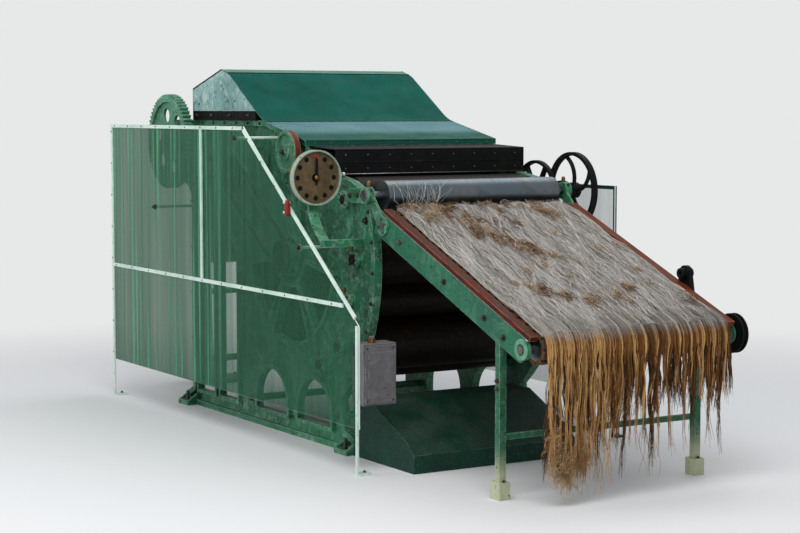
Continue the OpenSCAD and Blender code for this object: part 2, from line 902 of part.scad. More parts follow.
module drive_pulleys() {
    color(green) for (x = [pulley_x, pulley_x + pulley_step]) difference() {
        union() {
            across(x, pulley_w) spot(cyl_c) difference() {
                circle(pulley_r, $fn = 96);
                circle(pulley_r - pulley_rim, $fn = 96);
            }
            across(x, pulley_w) spot(cyl_c) circle(pulley_hub_r);
            across(x + (pulley_w - arm_t) / 2, arm_t) spot(cyl_c)
                for (i = [0 : pulley_arms - 1]) rotate(i * 360 / pulley_arms) pulley_arm();
        }
        across(x - 1, pulley_w + 2) spot(cyl_c) circle(cyl_shaft_r + run_gap);
    }
}

// Delivery end

module conductor_side_view(low, high) {
    polygon(concat([for (p = cond_line) p + [0, low]],
        [for (i = [cond_steps : -1 : 0]) cond_line[i] + [0, high]]));
}

module conductor_plan(grow) {
    polygon([[-cond_wide - grow, cond_start], [cond_wide + grow, cond_start],
        [cond_slim + grow, cond_end], [-cond_slim - grow, cond_end]]);
}

module conductor() {
    color(teal) {
        intersection() {
            across(-frame_gap, 2 * frame_gap) conductor_side_view(-cond_t, 0);
            linear_extrude(height = 3000) conductor_plan(cond_t);
        }
        intersection() {
            across(-frame_gap, 2 * frame_gap) conductor_side_view(-cond_t, cond_wall);
            linear_extrude(height = 3000) difference() {
                conductor_plan(cond_t);
                translate([0, -1]) scale([1, 1.01]) conductor_plan(0);
            }
        }
    }
}

module delivery_stand() {
    top = del_c[1] + 2 * del_r + 70;
    waist = del_c[1] - 230;
    front = del_c[0] - 110;
    rear = del_c[0] + 159;
    half_w = 65;
    inside = 2 * del_half + 10;
    color(green) difference() {
        union() {
            for (x = [-del_half - cheek_t - 4, del_half + 4]) {
                across(x, cheek_t) polygon([[front, 0], [front, 60], [del_c[0] - half_w, waist],
                    [del_c[0] - half_w, top], [del_c[0] + half_w, top], [del_c[0] + half_w, waist],
                    [rear, 60], [rear, 0]]);
            }
            translate([-inside / 2, front + 10, 0]) cube([inside, rear - front - 10, 30]);
            translate([-inside / 2, del_c[0] - 50, waist - 60]) cube([inside, 100, 30]);
            translate([-inside / 2, cond_end - 20, cond_low - cond_t - seat_gap - 24]) cube([inside, 40, 24]);
        }
        for (i = [0, 1]) across(-del_half - cheek_t - 10, 2 * (del_half + cheek_t + 10))
            spot(del_c + [0, i * (2 * del_r + clear_gap)]) circle(journal_r + run_gap);
    }
}

module delivery_rollers() {
    color(steel) for (i = [0, 1])
        roller(del_c + [0, i * (2 * del_r + clear_gap)], del_r, del_half - 4, journal_r,
            del_half + cheek_t + 20);
}

// Guards

module bar_between(p, q) {
    d = q - p;
    translate(p) rotate(atan2(d[1], d[0])) translate([0, -bar_w / 2]) square([norm(d), bar_w]);
}

near_outline = [[guard_rear, guard_low], [guard_rear, guard_high], [guard_knee, guard_high],
    guard_nose, [guard_nose[0], guard_low]];

function slant_y(z) = guard_knee
    - (guard_knee - guard_nose[0]) * (guard_high - z) / (guard_high - guard_nose[1]);

module guard_panel_near() {
    color(clear_col) across(-guard_at, panel_t) polygon(near_outline);
}

module guard_bars_near() {
    x = -guard_at - bar_t;
    h = bar_w / 2;
    slant = guard_nose - [guard_knee, guard_high];
    u = slant / norm(slant);
    rear = guard_rear - bar_w - 1;
    color(pale_green) {
        across(x, bar_t) {
            bar_between([guard_rear - h, 0], [guard_rear - h, guard_high]);
            bar_between([guard_knee + 10, guard_high - h], [rear, guard_high - h]);
            bar_between([guard_knee, guard_high - h] + u * 16, guard_nose + [h, 30] - u * 24);
            bar_between([guard_nose[0] + h, 0], [guard_nose[0] + h, guard_nose[1] + 4]);
            bar_between([slant_y(guard_mid) + 34, guard_mid], [rear, guard_mid]);
            bar_between([guard_split, guard_mid + h + 1], [guard_split, guard_high - bar_w - 1]);
        }
        for (y = [guard_nose[0] - 9, guard_rear - 2 * bar_w - 5])
            translate([-guard_at, y, 0]) cube([70, 60, 12]);
        for (c = near_rods) across(-guard_at + panel_t, guard_at - panel_t - pad_face) spot(c) circle(rod_r);
    }
}

module guard_panel_far() {
    color(clear_col) across(guard_at - panel_t, panel_t)
        translate([far_front, guard_low]) square([guard_rear - far_front, far_high - guard_low]);
}

module guard_bars_far() {
    x = guard_at;
    h = bar_w / 2;
    color(green) {
        for (y = [far_front + h, guard_rear - h]) across(x, bar_t) bar_between([y, 0], [y, far_high]);
        for (z = [far_high - h, far_mid])
            across(x, bar_t) bar_between([far_front + bar_w + 1, z], [guard_rear - bar_w - 1, z]);
        for (y = [far_front - 19, guard_rear - 41])
            translate([x + bar_t, y, 0]) cube([foot_edge - x - bar_t, 60, 12]);
        for (c = far_rods) across(pad_face, guard_at - panel_t - pad_face) spot(c) circle(rod_r);
    }
}

module switch_box() {
    box_z = guard_low + 130;
    box_h = 330;
    color(grey) {
        translate([-guard_at + panel_t, guard_nose[0] - 40, box_z]) cube([200, 120, box_h]);
        translate([-guard_at + 90, guard_nose[0] + 20, box_z + box_h]) cylinder(r = 16, h = 34, $fn = 24);
    }
}

module drive_cover() {
    cover_l = 650;
    cover_h = 330;
    front = foot_front - cover_l;
    rear = foot_front - seat_gap;
    color(green) across(-frame_out - 20, frame_out + 420) polygon([[front, 0], [front, 100],
        [front + 70, 160], [front + 450, cover_h], [rear, cover_h], [rear, 0]]);
}

side_frame_near();
side_frame_far();
cross_stays();
main_cylinder();
worker_rollers();
stripper_rollers();
doffer();
drawing_roller_lower();
drawing_roller_upper();
feed_roller();
feed_wheel();
feed_shell();
roller_shroud();
press_roller();
spoked_wheel();
press_bracket_near();
press_bracket_far();
hood_front_lower();
hood_front_upper();
hood_back();
hood_end_near();
hood_end_far();
hood_sills();
table_side_near();
table_side_far();
rail_near();
rail_far();
table_bed();
apron();
apron_rollers();
table_legs();
jute_layer();
jute_drape();
dial();
dial_bracket();
dial_hand();
gear_large();
pinion();
idler_wheel();
doffer_chain();
drive_pulleys();
table_pulley();
rail_bracket();
conductor();
delivery_stand();
delivery_rollers();
guard_bars_near();
guard_panel_near();
guard_bars_far();
guard_panel_far();
switch_box();
drive_cover();
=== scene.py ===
"""Looks of a jute breaker card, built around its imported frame. Metres, Z up, feed table towards -Y."""
import math

import bpy
import numpy as np
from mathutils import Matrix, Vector


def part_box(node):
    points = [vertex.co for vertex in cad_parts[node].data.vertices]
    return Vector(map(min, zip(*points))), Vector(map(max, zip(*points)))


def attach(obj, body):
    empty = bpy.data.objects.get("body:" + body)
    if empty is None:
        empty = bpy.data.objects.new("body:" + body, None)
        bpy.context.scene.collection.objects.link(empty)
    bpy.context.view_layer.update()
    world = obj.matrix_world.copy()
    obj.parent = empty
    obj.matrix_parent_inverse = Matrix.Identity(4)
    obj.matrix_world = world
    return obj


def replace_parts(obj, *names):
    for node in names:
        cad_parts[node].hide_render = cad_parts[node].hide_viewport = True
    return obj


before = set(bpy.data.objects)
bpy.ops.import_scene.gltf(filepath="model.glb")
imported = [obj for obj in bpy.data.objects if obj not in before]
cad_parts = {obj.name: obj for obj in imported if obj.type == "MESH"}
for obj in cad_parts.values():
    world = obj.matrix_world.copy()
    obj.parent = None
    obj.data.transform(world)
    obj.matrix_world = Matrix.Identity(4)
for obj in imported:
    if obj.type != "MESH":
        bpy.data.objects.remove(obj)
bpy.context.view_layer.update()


class Place:
    """A CAD node's lowest and highest corners at rest, and its middle as (y, z)."""

    def __init__(self, low, high):
        self.low, self.high = low, high
        self.at = (self.low.y + self.high.y) / 2, (self.low.z + self.high.z) / 2


TABLE = Place(*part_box("apron_rollers"))
TABLE_SIDE = Place(*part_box("table_side_near"))
PRESS = Place(*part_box("spoked_wheel"))
FEED = Place(*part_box("feed_wheel"))
DIAL = Place(*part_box("dial"))
HAND = Place(*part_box("dial_hand"))
GEAR = Place(*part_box("gear_large"))
DRAW = Place(*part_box("pinion"))
IDLER = Place(*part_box("idler_wheel"))
PULLEYS = Place(*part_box("drive_pulleys"))
GROOVED = Place(*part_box("table_pulley"))
SWITCH = Place(*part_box("switch_box"))
COVER = Place(*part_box("drive_cover"))
HOOD = Place(*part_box("hood_back"))
KNEE = Place(*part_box("hood_front_lower"))
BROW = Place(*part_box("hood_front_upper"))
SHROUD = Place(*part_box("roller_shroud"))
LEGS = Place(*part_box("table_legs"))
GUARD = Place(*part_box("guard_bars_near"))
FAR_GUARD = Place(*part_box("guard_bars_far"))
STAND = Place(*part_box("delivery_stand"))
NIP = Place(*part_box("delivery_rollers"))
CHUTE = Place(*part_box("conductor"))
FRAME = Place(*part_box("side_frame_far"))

MACHINE = "machine"
TURN = 2 * math.pi
RIGHT, BACK, UP = Vector((1, 0, 0)), Vector((0, 1, 0)), Vector((0, 0, 1))
SIDE_X = -TABLE_SIDE.low.x - 0.010
PAD_X = SIDE_X - 0.018
SLOPE = math.radians(22)
APRON_R, SLAT_TOP = 0.060, 0.0786
LOW_Y, LOW_Z = TABLE.low.y + APRON_R, TABLE.low.z + APRON_R
TABLE_LEN = (TABLE.high.y - TABLE.low.y - 2 * APRON_R) / math.cos(SLOPE)
PRESS_R, FEED_R = 0.082, 0.127
DIAL_X, DIAL_R = (DIAL.low.x + DIAL.high.x) / 2, (DIAL.high.x - DIAL.low.x) / 2
CYL_Y, CYL_Z, CYL_R = 0.100, 1.080, 0.610
HOOD_LIP = 0.033
FRAME_T, FOOT_TOP = 0.050, 0.030
CHAIN_X, CHAIN_W = SIDE_X + 0.047, 0.022


def round_cylinder(dist, degrees):
    """A place (y, z) at a distance and angle from the main cylinder's axis."""
    angle = math.radians(degrees)
    return CYL_Y + dist * math.cos(angle), CYL_Z + dist * math.sin(angle)


STRIPPERS = [round_cylinder(0.765, a) for a in (178, 219.5)]
WORKERS = [round_cylinder(0.715, a) for a in (197.6, 239)]
DOFFER = round_cylinder(0.805, 34.9)


# Shading

def linear(hex_colour):
    """A linear colour from an sRGB hex string."""
    parts = [int(hex_colour[i:i + 2], 16) / 255 for i in (1, 3, 5)]
    return tuple(c / 12.92 if c <= 0.04045 else ((c + 0.055) / 1.055) ** 2.4 for c in parts)


class Nodes:
    """A node tree, cleared, with short calls that add its nodes."""

    def __init__(self, owner, output):
        owner.use_nodes = True
        self.tree = owner.node_tree
        self.tree.nodes.clear()
        self.out = self.tree.nodes.new(output).inputs[0]

    def feed(self, socket, value):
        """Sets an input by a link, a hex colour, a linear colour or a number."""
        if isinstance(value, bpy.types.NodeSocket):
            self.tree.links.new(value, socket)
            return
        if isinstance(value, str):
            value = linear(value)
        socket.default_value = (*value, 1.0) if socket.type == "RGBA" else value

    def make(self, kind, inputs=(), output=0, **props):
        """One output of a new node; inputs is a dict, or a list in the node's own order."""
        made = self.tree.nodes.new("ShaderNode" + kind)
        for key, value in props.items():
            setattr(made, key, value)
        for key, value in inputs.items() if isinstance(inputs, dict) else enumerate(inputs):
            self.feed(made.inputs[key], value)
        return made.outputs[output]

    def math(self, operation, a, b=0.0):
        return self.make("Math", (a, b), operation=operation)

    def add(self, a, b):
        return self.math("ADD", a, b)

    def times(self, a, b):
        return self.math("MULTIPLY", a, b)

    def level(self, value, low, high, to_low=0.0, to_high=1.0):
        """A smooth step from one range to another."""
        return self.make("MapRange", (value, low, high, to_low, to_high), interpolation_type="SMOOTHSTEP")


class Shade(Nodes):
    """A procedural material on one Principled shader."""

    def __init__(self, name, **sockets):
        self.mat = bpy.data.materials.new(name)
        super().__init__(self.mat, "ShaderNodeOutputMaterial")
        self.bsdf = self.tree.nodes.new("ShaderNodeBsdfPrincipled")
        self.feed(self.out, self.bsdf.outputs[0])
        self.coord = self.make("TexCoord", output="Object")
        self.colour = None
        self.set(**sockets)

    def set(self, **sockets):
        for name, value in sockets.items():
            self.feed(self.bsdf.inputs[name.replace("_", " ")], value)
        return self.mat

    def finish(self, rough, normal):
        return self.set(Base_Color=self.colour, Roughness=rough, Normal=normal)

    def noise(self, scale, detail, rough, stretch=None, turn=(0, 0, 0), warp=0.0):
        where = self.coord
        if stretch:
            where = self.make("Mapping", {"Vector": where, "Scale": stretch, "Rotation": turn})
        return self.make("TexNoise", {"Vector": where, "Scale": scale, "Detail": detail, "Roughness": rough,
                                      "Distortion": warp})

    def patches(self, noise, low, high, to_low=0.0, to_high=1.0, **more):
        """A noise of (scale, detail, roughness), cut between two levels."""
        return self.level(self.noise(*noise, **more), low, high, to_low, to_high)

    def mix(self, amount, a, b):
        return self.make("Mix", {0: amount, 6: a, 7: b}, 2, data_type="RGBA")

    def over(self, mask, share, tint):
        """Lays a tint over the colour so far, by a share of a mask."""
        self.colour = self.mix(self.times(mask, share), self.colour, tint)

    def stain(self, share, tint, noise, low, high, **more):
        """Lays a tint over the colour so far, in the patches of a noise."""
        self.over(self.patches(noise, low, high, **more), share, tint)

    def part(self, vector, index):
        """The X, Y or Z part of a vector."""
        return self.make("SeparateXYZ", (vector,), index)

    def blurred(self, index, noise, share):
        """The X, Y or Z coordinate on the object, made uneven by a noise."""
        return self.add(self.part(self.coord, index), self.times(self.noise(*noise), share))

    def surface(self, output="Normal"):
        return self.make("NewGeometry", output=output)

    def round_normal(self, radius):
        return self.make("Bevel", {"Radius": radius}, samples=4)

    def wear(self, radius, noise, low, high, share, tint):
        """Lays a tint over sharp edges, where a noise lets it."""
        bend = self.make("VectorMath", (self.round_normal(radius), self.surface()), "Value",
                         operation="DOT_PRODUCT")
        edges = self.level(bend, 0.995, 0.90)
        self.over(self.times(edges, self.patches(noise, low, high)), share, tint)

    def bump(self, height, strength, distance, normal=None):
        inputs = {"Height": height, "Strength": strength, "Distance": distance}
        if normal:
            inputs["Normal"] = normal
        return self.make("Bump", inputs)


def painted(name, base, shade, worn, rough=0.42, chips=0.66, dust=0.18, cast=0.5, oil=0.5, foot=None,
            mottle=0.15, edge=0.006, gloss=0.22):
    """Paint on iron: patches, pale mottling, dark pits, oily runs, dust on top faces, pale worn edges, chips;
    on the green frames the pale mottling and edges are partly painted highlight.

    foot is (colour, height where it starts to end, height where it ends) of bare ends of legs.
    """
    s = Shade(name, Specular_IOR_Level=gloss)
    s.colour = s.mix(s.patches((2.3, 5, 0.6), 0.35, 0.7), base, shade)
    # Pale mottling in the worn colour: rubbed paint, and on the green frames partly a painted highlight.
    s.stain(mottle, worn, (15, 8, 0.74), 0.47, 0.66, warp=0.8)
    s.stain(1.2 * mottle, "#10241b", (23, 6, 0.7), 0.50, 0.64, warp=1.0)
    if foot:
        s.colour = s.mix(s.level(s.blurred(2, (9, 4, 0.6), 0.10), *foot[1:]), foot[0], s.colour)
    s.stain(oil, "#18211c", (9, 6, 0.65), 0.46, 0.76, stretch=(1, 1, 0.12))
    s.stain(0.22, worn, (150, 3, 0.6), 0.56, 0.70)
    dusty = s.times(s.level(s.part(s.surface(), 2), 0.35, 0.95), s.patches((6, 5, 0.6), 0.3, 0.75))
    s.over(dusty, dust, "#8f8b7f")
    # Pale edges: edge wear, and on the green frames (wider edge) partly a painted highlight along edges and
    # ribs.
    s.wear(edge, (24, 4, 0.6), 0.38, 0.58, 0.75, worn)
    chip = s.patches((52, 4, 0.5), chips, chips + 0.03)
    s.colour = s.mix(chip, s.colour, "#2a211b")
    fine = s.noise(60, 4, 0.6)
    rough_map = s.add(s.level(fine, 0.3, 0.7, rough - 0.06, rough + 0.10),
                      s.times(s.math("MAXIMUM", chip, dusty), 0.35))
    waves = s.add(s.noise(14, 5, 0.6), s.times(s.noise(33, 4, 0.6), 0.5))
    height = s.math("SUBTRACT", s.add(s.times(waves, cast), s.times(fine, 0.25)), s.times(chip, 0.3))
    normal = s.bump(height, 0.35, 0.002, s.round_normal(0.003))
    return s.finish(rough_map, normal)


def sheet_metal(name, base, shade, worn, smears, sheen, lip=None):
    """Painted sheet with soft dents, wiped smears and a low sheen; lip is (colour, y of its edge)."""
    s = Shade(name, Specular_IOR_Level=sheen)
    s.colour = s.mix(s.patches((1.7, 5, 0.6), 0.35, 0.7), base, shade)
    s.stain(smears, "#86a59c", (5, 6, 0.7), 0.5, 0.8, stretch=(0.25, 1, 1))
    s.stain(0.6 * smears, "#b3bfb6", (26, 5, 0.7), 0.52, 0.80, stretch=(1, 0.06, 0.06))
    # Fades from the lip colour at the lower edge to the base colour above; on the lower front sheet that pale
    # base is painted reflection.
    if lip:
        s.colour = s.mix(s.level(s.blurred(1, (6, 4, 0.6), 0.03), lip[1], lip[1] + 0.17), lip[0], s.colour)
    s.stain(0.35, "#132420", (7, 6, 0.65), 0.55, 0.8)
    s.wear(0.004, (30, 4, 0.6), 0.4, 0.55, 0.8, worn)
    s.colour = s.mix(s.patches((60, 4, 0.5), 0.67, 0.70), s.colour, "#37332c")
    rough = s.patches((8, 5, 0.6), 0.3, 0.75, 0.58, 0.74)
    dents = s.bump(s.noise(2.6, 2, 0.4), 0.5, 0.005, s.round_normal(0.002))
    return s.finish(rough, s.bump(s.noise(90, 3, 0.5), 0.08, 0.001, dents))


def black_casting(name, base, bare):
    """Black enamelled iron, a little rusty and rubbed bare along its edges."""
    s = Shade(name, Specular_IOR_Level=0.12)
    s.colour = s.mix(s.patches((12, 5, 0.6), 0.4, 0.75), base, "#0d0e0e")
    s.stain(0.5, "#3c2418", (18, 6, 0.65), 0.60, 0.72)
    s.wear(0.004, (20, 4, 0.6), 0.35, 0.6, 0.7, bare)
    rough = s.patches((22, 5, 0.6), 0.3, 0.75, 0.58, 0.76)
    normal = s.bump(s.noise(45, 5, 0.6), 0.25, 0.002, s.round_normal(0.003))
    return s.finish(rough, normal)


def turned_steel(name, base, rough, tarnish):
    """Steel turned round the X axis: fine rings, brown tarnish, wiped bands."""
    s = Shade(name, Metallic=1.0)
    rings = s.noise(140, 3, 0.6, stretch=(1, 0.02, 0.02))
    s.colour = s.mix(s.patches((3, 5, 0.6), 0.45, 0.75, stretch=(1, 0.5, 0.5)), base, "#6e6c69")
    stain = s.patches((8, 7, 0.7), 0.52, 0.75)
    s.over(stain, tarnish, "#4f4238")
    s.stain(0.5, "#3b2c22", (70, 5, 0.65), 0.60, 0.70)
    rough_map = s.add(s.level(rings, 0.3, 0.7, rough - 0.06, rough + 0.08), s.times(stain, 0.25))
    normal = s.bump(rings, 0.12, 0.0006, s.round_normal(0.002))
    return s.finish(rough_map, normal)


def card_clothing(name):
    """Wooden staves between the pins of a carding roller, with dust and lint; their near-black colour is
    partly painted shade for the machine's dark inside.
    """
    s = Shade(name, Specular_IOR_Level=0.1)
    wood = s.noise(20, 6, 0.65, stretch=(0.08, 1, 1))
    lint = s.patches((28, 6, 0.7), 0.54, 0.74)
    # Near-black wood colours: partly painted shade inside the machine and under the shroud.
    s.colour = s.mix(s.level(wood, 0.35, 0.7), "#0e0c0a", "#1f1913")
    s.over(lint, 0.22, "#6b5a40")
    cells = s.make("TexVoronoi", {"Vector": s.coord, "Scale": 150}, "Distance", feature="F1")
    pins = s.level(cells, 0.08, 0.26, 1.0, 0.0)
    s.over(pins, 0.3, "#3d3a35")
    normal = s.bump(pins, 0.8, 0.005, s.bump(wood, 0.3, 0.002))
    return s.finish(s.level(lint, 0.0, 1.0, 0.5, 0.85), normal)


def timber(name, base, shade, worn, rough, stretch, turn=(0, 0, 0), wear=0.85):
    """Boards with grain along the stretched axis and worn edges."""
    s = Shade(name, Specular_IOR_Level=0.14)
    grain = s.noise(26, 7, 0.65, stretch=stretch, turn=turn, warp=0.6)
    s.colour = s.mix(s.level(grain, 0.32, 0.68), base, shade)
    s.stain(0.5, "#2a1710", (4, 5, 0.6), 0.45, 0.75)
    s.wear(0.005, (16, 5, 0.6), 0.3, 0.55, wear, worn)
    rough_map = s.level(grain, 0.3, 0.7, rough - 0.08, rough + 0.16)
    normal = s.bump(grain, 0.3, 0.0015, s.round_normal(0.003))
    return s.finish(rough_map, normal)


def fibre(name, dark, mid, pale, top=None):
    """Jute strands, each tinted by its own value; top is (colour, height) of the paler upper part."""
    s = Shade(name, Specular_IOR_Level=0.3)
    tint = s.make("Attribute", output="Fac", attribute_name="tint")
    s.colour = s.mix(s.level(tint, 0.45, 1.0), s.mix(s.level(tint, 0.0, 0.5), dark, mid), pale)
    if top:
        above = s.level(s.blurred(2, (14, 5, 0.6), 0.10), top[1], top[1] + 0.07)
        s.colour = s.mix(above, s.colour, s.mix(tint, dark, top[0]))
    s.stain(0.25, dark, (160, 3, 0.6), 0.35, 0.75)
    return s.finish(0.62, s.bump(s.noise(300, 3, 0.6), 0.3, 0.0006))


def matted_fibre(name):
    """Matted fibre under the loose strands: streaks down the slope, dark gaps and brown patches."""
    s = Shade(name, Specular_IOR_Level=0.2)
    turn = (-SLOPE, 0, 0)
    fibres = s.noise(70, 8, 0.75, stretch=(1, 0.10, 1), turn=turn, warp=1.6)
    gaps = s.patches((34, 6, 0.7), 0.32, 0.46, stretch=(1, 0.18, 1), turn=turn, warp=1.0)
    s.colour = s.mix(gaps, "#3a2e22", s.mix(s.level(fibres, 0.3, 0.7), "#7f7870", "#bab5ae"))
    s.stain(0.35, "#80603f", (4.5, 6, 0.65), 0.56, 0.70)
    return s.finish(0.8, s.bump(fibres, 0.9, 0.006))


def clear_sheet(name, tint, glare, film, streaks):
    """Tinted plastic sheet; streaks and film (front, rear) grow towards the rear; the streaks in the glare
    colour are painted reflections, and cut edges are painted near-white as a highlight.
    """
    rear = 0.7
    s = Shade(name, Specular_IOR_Level=0.15)
    scuff = s.patches((18, 7, 0.7), 0.5, 0.8, stretch=(1, 1, 0.25))
    # Upright bands where the glare colour is laid as painted reflections.
    reflection_bands = s.patches((26, 3, 0.6), 0.46, 0.68, stretch=(1, 1, 0.015))
    broad = s.patches((6, 3, 0.5), 0.35, 0.65, stretch=(1, 1, 0.05))
    y = s.part(s.coord, 1)
    upright = s.times(reflection_bands, s.level(y, rear - 0.8, rear + 0.1, 0.35, 1.0))
    haze = s.level(y, rear - 0.9, rear + 0.1, *film)
    face = s.level(s.math("ABSOLUTE", s.part(s.surface("True Normal"), 0)), 0.4, 0.6)
    mist = s.add(s.times(scuff, 0.06), s.times(upright, streaks))
    shown = s.add(s.add(mist, s.times(broad, 0.10)), haze)
    alpha = s.add(s.times(face, shown), s.math("SUBTRACT", 1.0, face))
    # The glare colour over scuffs is wear; over the upright bands it is painted reflection.
    inside = s.mix(s.level(mist, 0.0, 0.35), tint, glare)
    # Cut edges, the faces that don't face across X, are painted near-white: a painted highlight.
    return s.set(Base_Color=s.mix(face, "#e8f4ee", inside), Alpha=alpha,
                 Roughness=s.level(scuff, 0.0, 1.0, 0.06, 0.25))


ALONG_SLOPE = {"stretch": (1, 0.06, 1), "turn": (-SLOPE, 0, 0)}
ACROSS = {"stretch": (0.06, 1, 1)}
MATS = {
    # The green frames' high mottle and wide edge lay pale flecks and edges that are partly painted highlight.
    "green": painted("green_paint", "#2d8058", "#1c5d40", "#93b6a0", rough=0.44, cast=1.4, oil=0.6,
                     mottle=0.5, edge=0.009, gloss=0.3),
    "table_green": painted("table_paint", "#156748", "#125440", "#7fa48d", rough=0.36, dust=0.1, oil=0.35,
                           mottle=0.22),
    "leg_green": painted("leg_paint", "#1e6447", "#1a543b", "#a9bfa6", dust=0.2, oil=0.35,
                         foot=("#b9bd9c", 0.12, 0.34)),
    "pale": painted("pale_paint", "#4f9070", "#3b7757", "#a9c4b3", rough=0.48, dust=0.15, oil=0.35,
                    mottle=0.3),
    "hood_end": painted("hood_end_paint", "#8ab0ae", "#64918e", "#dde4df", rough=0.5, dust=0.1, oil=0.25,
                        chips=0.7, mottle=0.45),
    # Guard bars: very pale green, partly the bars' paint and partly a painted highlight of their bright
    # edges.
    "guard": painted("guard_paint_and_highlight", "#cfe3d8", "#aecdbd", "#f0f5f2", rough=0.38, dust=0.1, oil=0.1,
                     chips=0.72),
    "cover": painted("cover_paint", "#053829", "#04281e", "#4f8a74", rough=0.58, dust=0.1, mottle=0.05),
    "grey": painted("grey_paint", "#666466", "#585658", "#9b999b", rough=0.5, chips=0.7, cast=0.1, oil=0.2),
    "dial": painted("dial_face", "#5d4b32", "#483925", "#857556", rough=0.5, dust=0.05, oil=0.35, cast=0.1,
                    chips=0.68, mottle=0.3),
    "dial_rim": painted("dial_rim_paint", "#93a894", "#6f8874", "#d3dcd3", dust=0.1, oil=0.4),
    "red": painted("red_paint", "#8f2620", "#701b16", "#c4685a", rough=0.45, dust=0.1, oil=0.3),
    "teal": sheet_metal("teal_sheet", "#0e584d", "#0c4c42", "#7fa79b", 0.03, 0.04),
    # Lower front sheet: the pale base above the green lip is a painted reflection band on the glossy sheet.
    "teal_low_reflection": sheet_metal("teal_low_sheet", "#5c8689", "#4f7678", "#b2c8c1", 0.16, 0.12,
                            ("#154f42", -0.02)),
    "ridge": sheet_metal("ridge_sheet", "#5f8f80", "#4b7a6b", "#b2c8c1", 0.2, 0.15),
    "black": black_casting("black_casting", "#040505", "#3a3835"),
    "chain": black_casting("oiled_chain", "#1b1916", "#a39d90"),
    "ink": black_casting("dial_ink", "#080706", "#2a2622"),
    "steel": turned_steel("turned_steel", "#747b81", 0.26, 0.6),
    "press": turned_steel("press_steel", "#56626a", 0.36, 0.75),
    "shaft": turned_steel("shaft_steel", "#686a6c", 0.3, 0.7),
    "bolt": turned_steel("bolt_steel", "#44423f", 0.4, 0.8),
    "bright": turned_steel("bright_steel", "#b9bcbd", 0.18, 0.2),
    "pin": turned_steel("pin_steel", "#2f2c29", 0.46, 0.6),
    "brass": turned_steel("brass_fitting", "#7d5a2c", 0.34, 0.7),
    "clothing": card_clothing("card_clothing"),
    "rail": timber("rail_wood", "#2e0e08", "#5e1f10", "#b5825f", 0.6, **ALONG_SLOPE, wear=0.9),
    "rail_far": timber("rail_far_wood", "#45180a", "#743515", "#d09058", 0.6, **ALONG_SLOPE, wear=0.95),
    "slat": timber("slat_wood", "#4a3522", "#634a31", "#927654", 0.6, **ACROSS),
    "brown": timber("brown_lagging", "#3f2819", "#523622", "#7f6040", 0.55, **ACROSS),
    "belt": timber("belt_leather", "#5f2a1c", "#7c3a28", "#b87c68", 0.5, (0.2, 1, 1), wear=0.9),
    "jute_top": fibre("jute_top", "#4c3b2a", "#b5aea4", "#f1eee9"),
    "jute_tuft": fibre("jute_tuft", "#3a2412", "#8d6840", "#ddc7a4"),
    "jute_hang": fibre("jute_hang", "#2a1706", "#7b4b1b", "#dcae70", ("#d2ccc2", LOW_Z + SLAT_TOP)),
    "jute_knot": fibre("jute_knot", "#6b4722", "#b98e5b", "#ecd2a8"),
    "jute_mat": matted_fibre("jute_mat"),
    "clear": clear_sheet("clear_sheet", "#0c5538", "#4fa07a", (0.32, 0.60), 0.22),
    "clear_far": clear_sheet("clear_far_sheet", "#33605d", "#7a9c9a", (0.20, 0.20), 0.08),
}

NODE_MATS = {
    "green": "side_frame_near side_frame_far cross_stays press_bracket_near press_bracket_far dial_bracket"
             " delivery_stand drive_pulleys",
    "table_green": "table_side_near table_side_far",
    "leg_green": "table_legs",
    "pale": "gear_large pinion idler_wheel",
    "hood_end": "hood_end_near hood_end_far",
    "guard": "guard_bars_near",
    "cover": "drive_cover guard_bars_far",
    "teal": "hood_front_upper hood_back conductor",
    "teal_low_reflection": "hood_front_lower",
    "black": "hood_sills roller_shroud spoked_wheel feed_wheel feed_shell dial_hand table_bed table_pulley"
             " rail_bracket",
    "chain": "doffer_chain",
    "steel": "delivery_rollers drawing_roller_lower",
    "press": "press_roller",
    "shaft": "apron_rollers",
    "clothing": "main_cylinder worker_rollers stripper_rollers doffer feed_roller",
    "brown": "drawing_roller_upper",
    "rail": "rail_near",
    "rail_far": "rail_far",
    "slat": "apron",
    "dial": "dial",
    "grey": "switch_box",
    "clear": "guard_panel_near",
    "clear_far": "guard_panel_far",
}

for mat_name, nodes in NODE_MATS.items():
    for node_name in nodes.split():
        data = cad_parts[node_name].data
        data.materials.clear()
        data.materials.append(MATS[mat_name])

# The record's material slots, with the materials that take them
SLOTS = {
    "green_paint": "green cover",
    "teal_paint": "teal ridge",
    "pale_paint": "guard pale dial_rim",
    "grey_paint": "grey",
    "black_iron": "black chain ink",
    "steel": "bolt bright brass shaft",
    "pins": "pin",
    "rail_wood": "red belt",
    "jute": "jute_top jute_tuft jute_hang jute_knot jute_mat",
}
SLOT_OF = {mat: slot for slot, mats in SLOTS.items() for mat in mats.split()}


# Mesh helpers

def link(name, data):
    made = bpy.data.objects.new(name, data)
    bpy.context.collection.objects.link(made)
    return made


def mesh_object(name, verts, faces, mat, smooth=False):
    mesh = bpy.data.meshes.new(name)
    mesh.from_pydata([tuple(v) for v in verts], [], faces)
    mesh.materials.append(MATS[mat])
    mesh.polygons.foreach_set("use_smooth", [smooth] * len(mesh.polygons))
    mesh.update()
    return link(name, mesh)


def slope_points(x, s, n):
    """Points on the feed table: across, up the slope, and out from it."""
    return np.stack([x, LOW_Y + s * math.cos(SLOPE) - n * math.sin(SLOPE),
                     LOW_Z + s * math.sin(SLOPE) + n * math.cos(SLOPE)], axis=-1)


def on_slope(x, s, n):
    return Vector(slope_points(x, s, n))


OFF_SLOPE = Vector((0, -math.sin(SLOPE), math.cos(SLOPE)))


def row(low, high, count):
    """Evenly spaced values, as plain numbers."""
    return np.linspace(low, high, count).tolist()


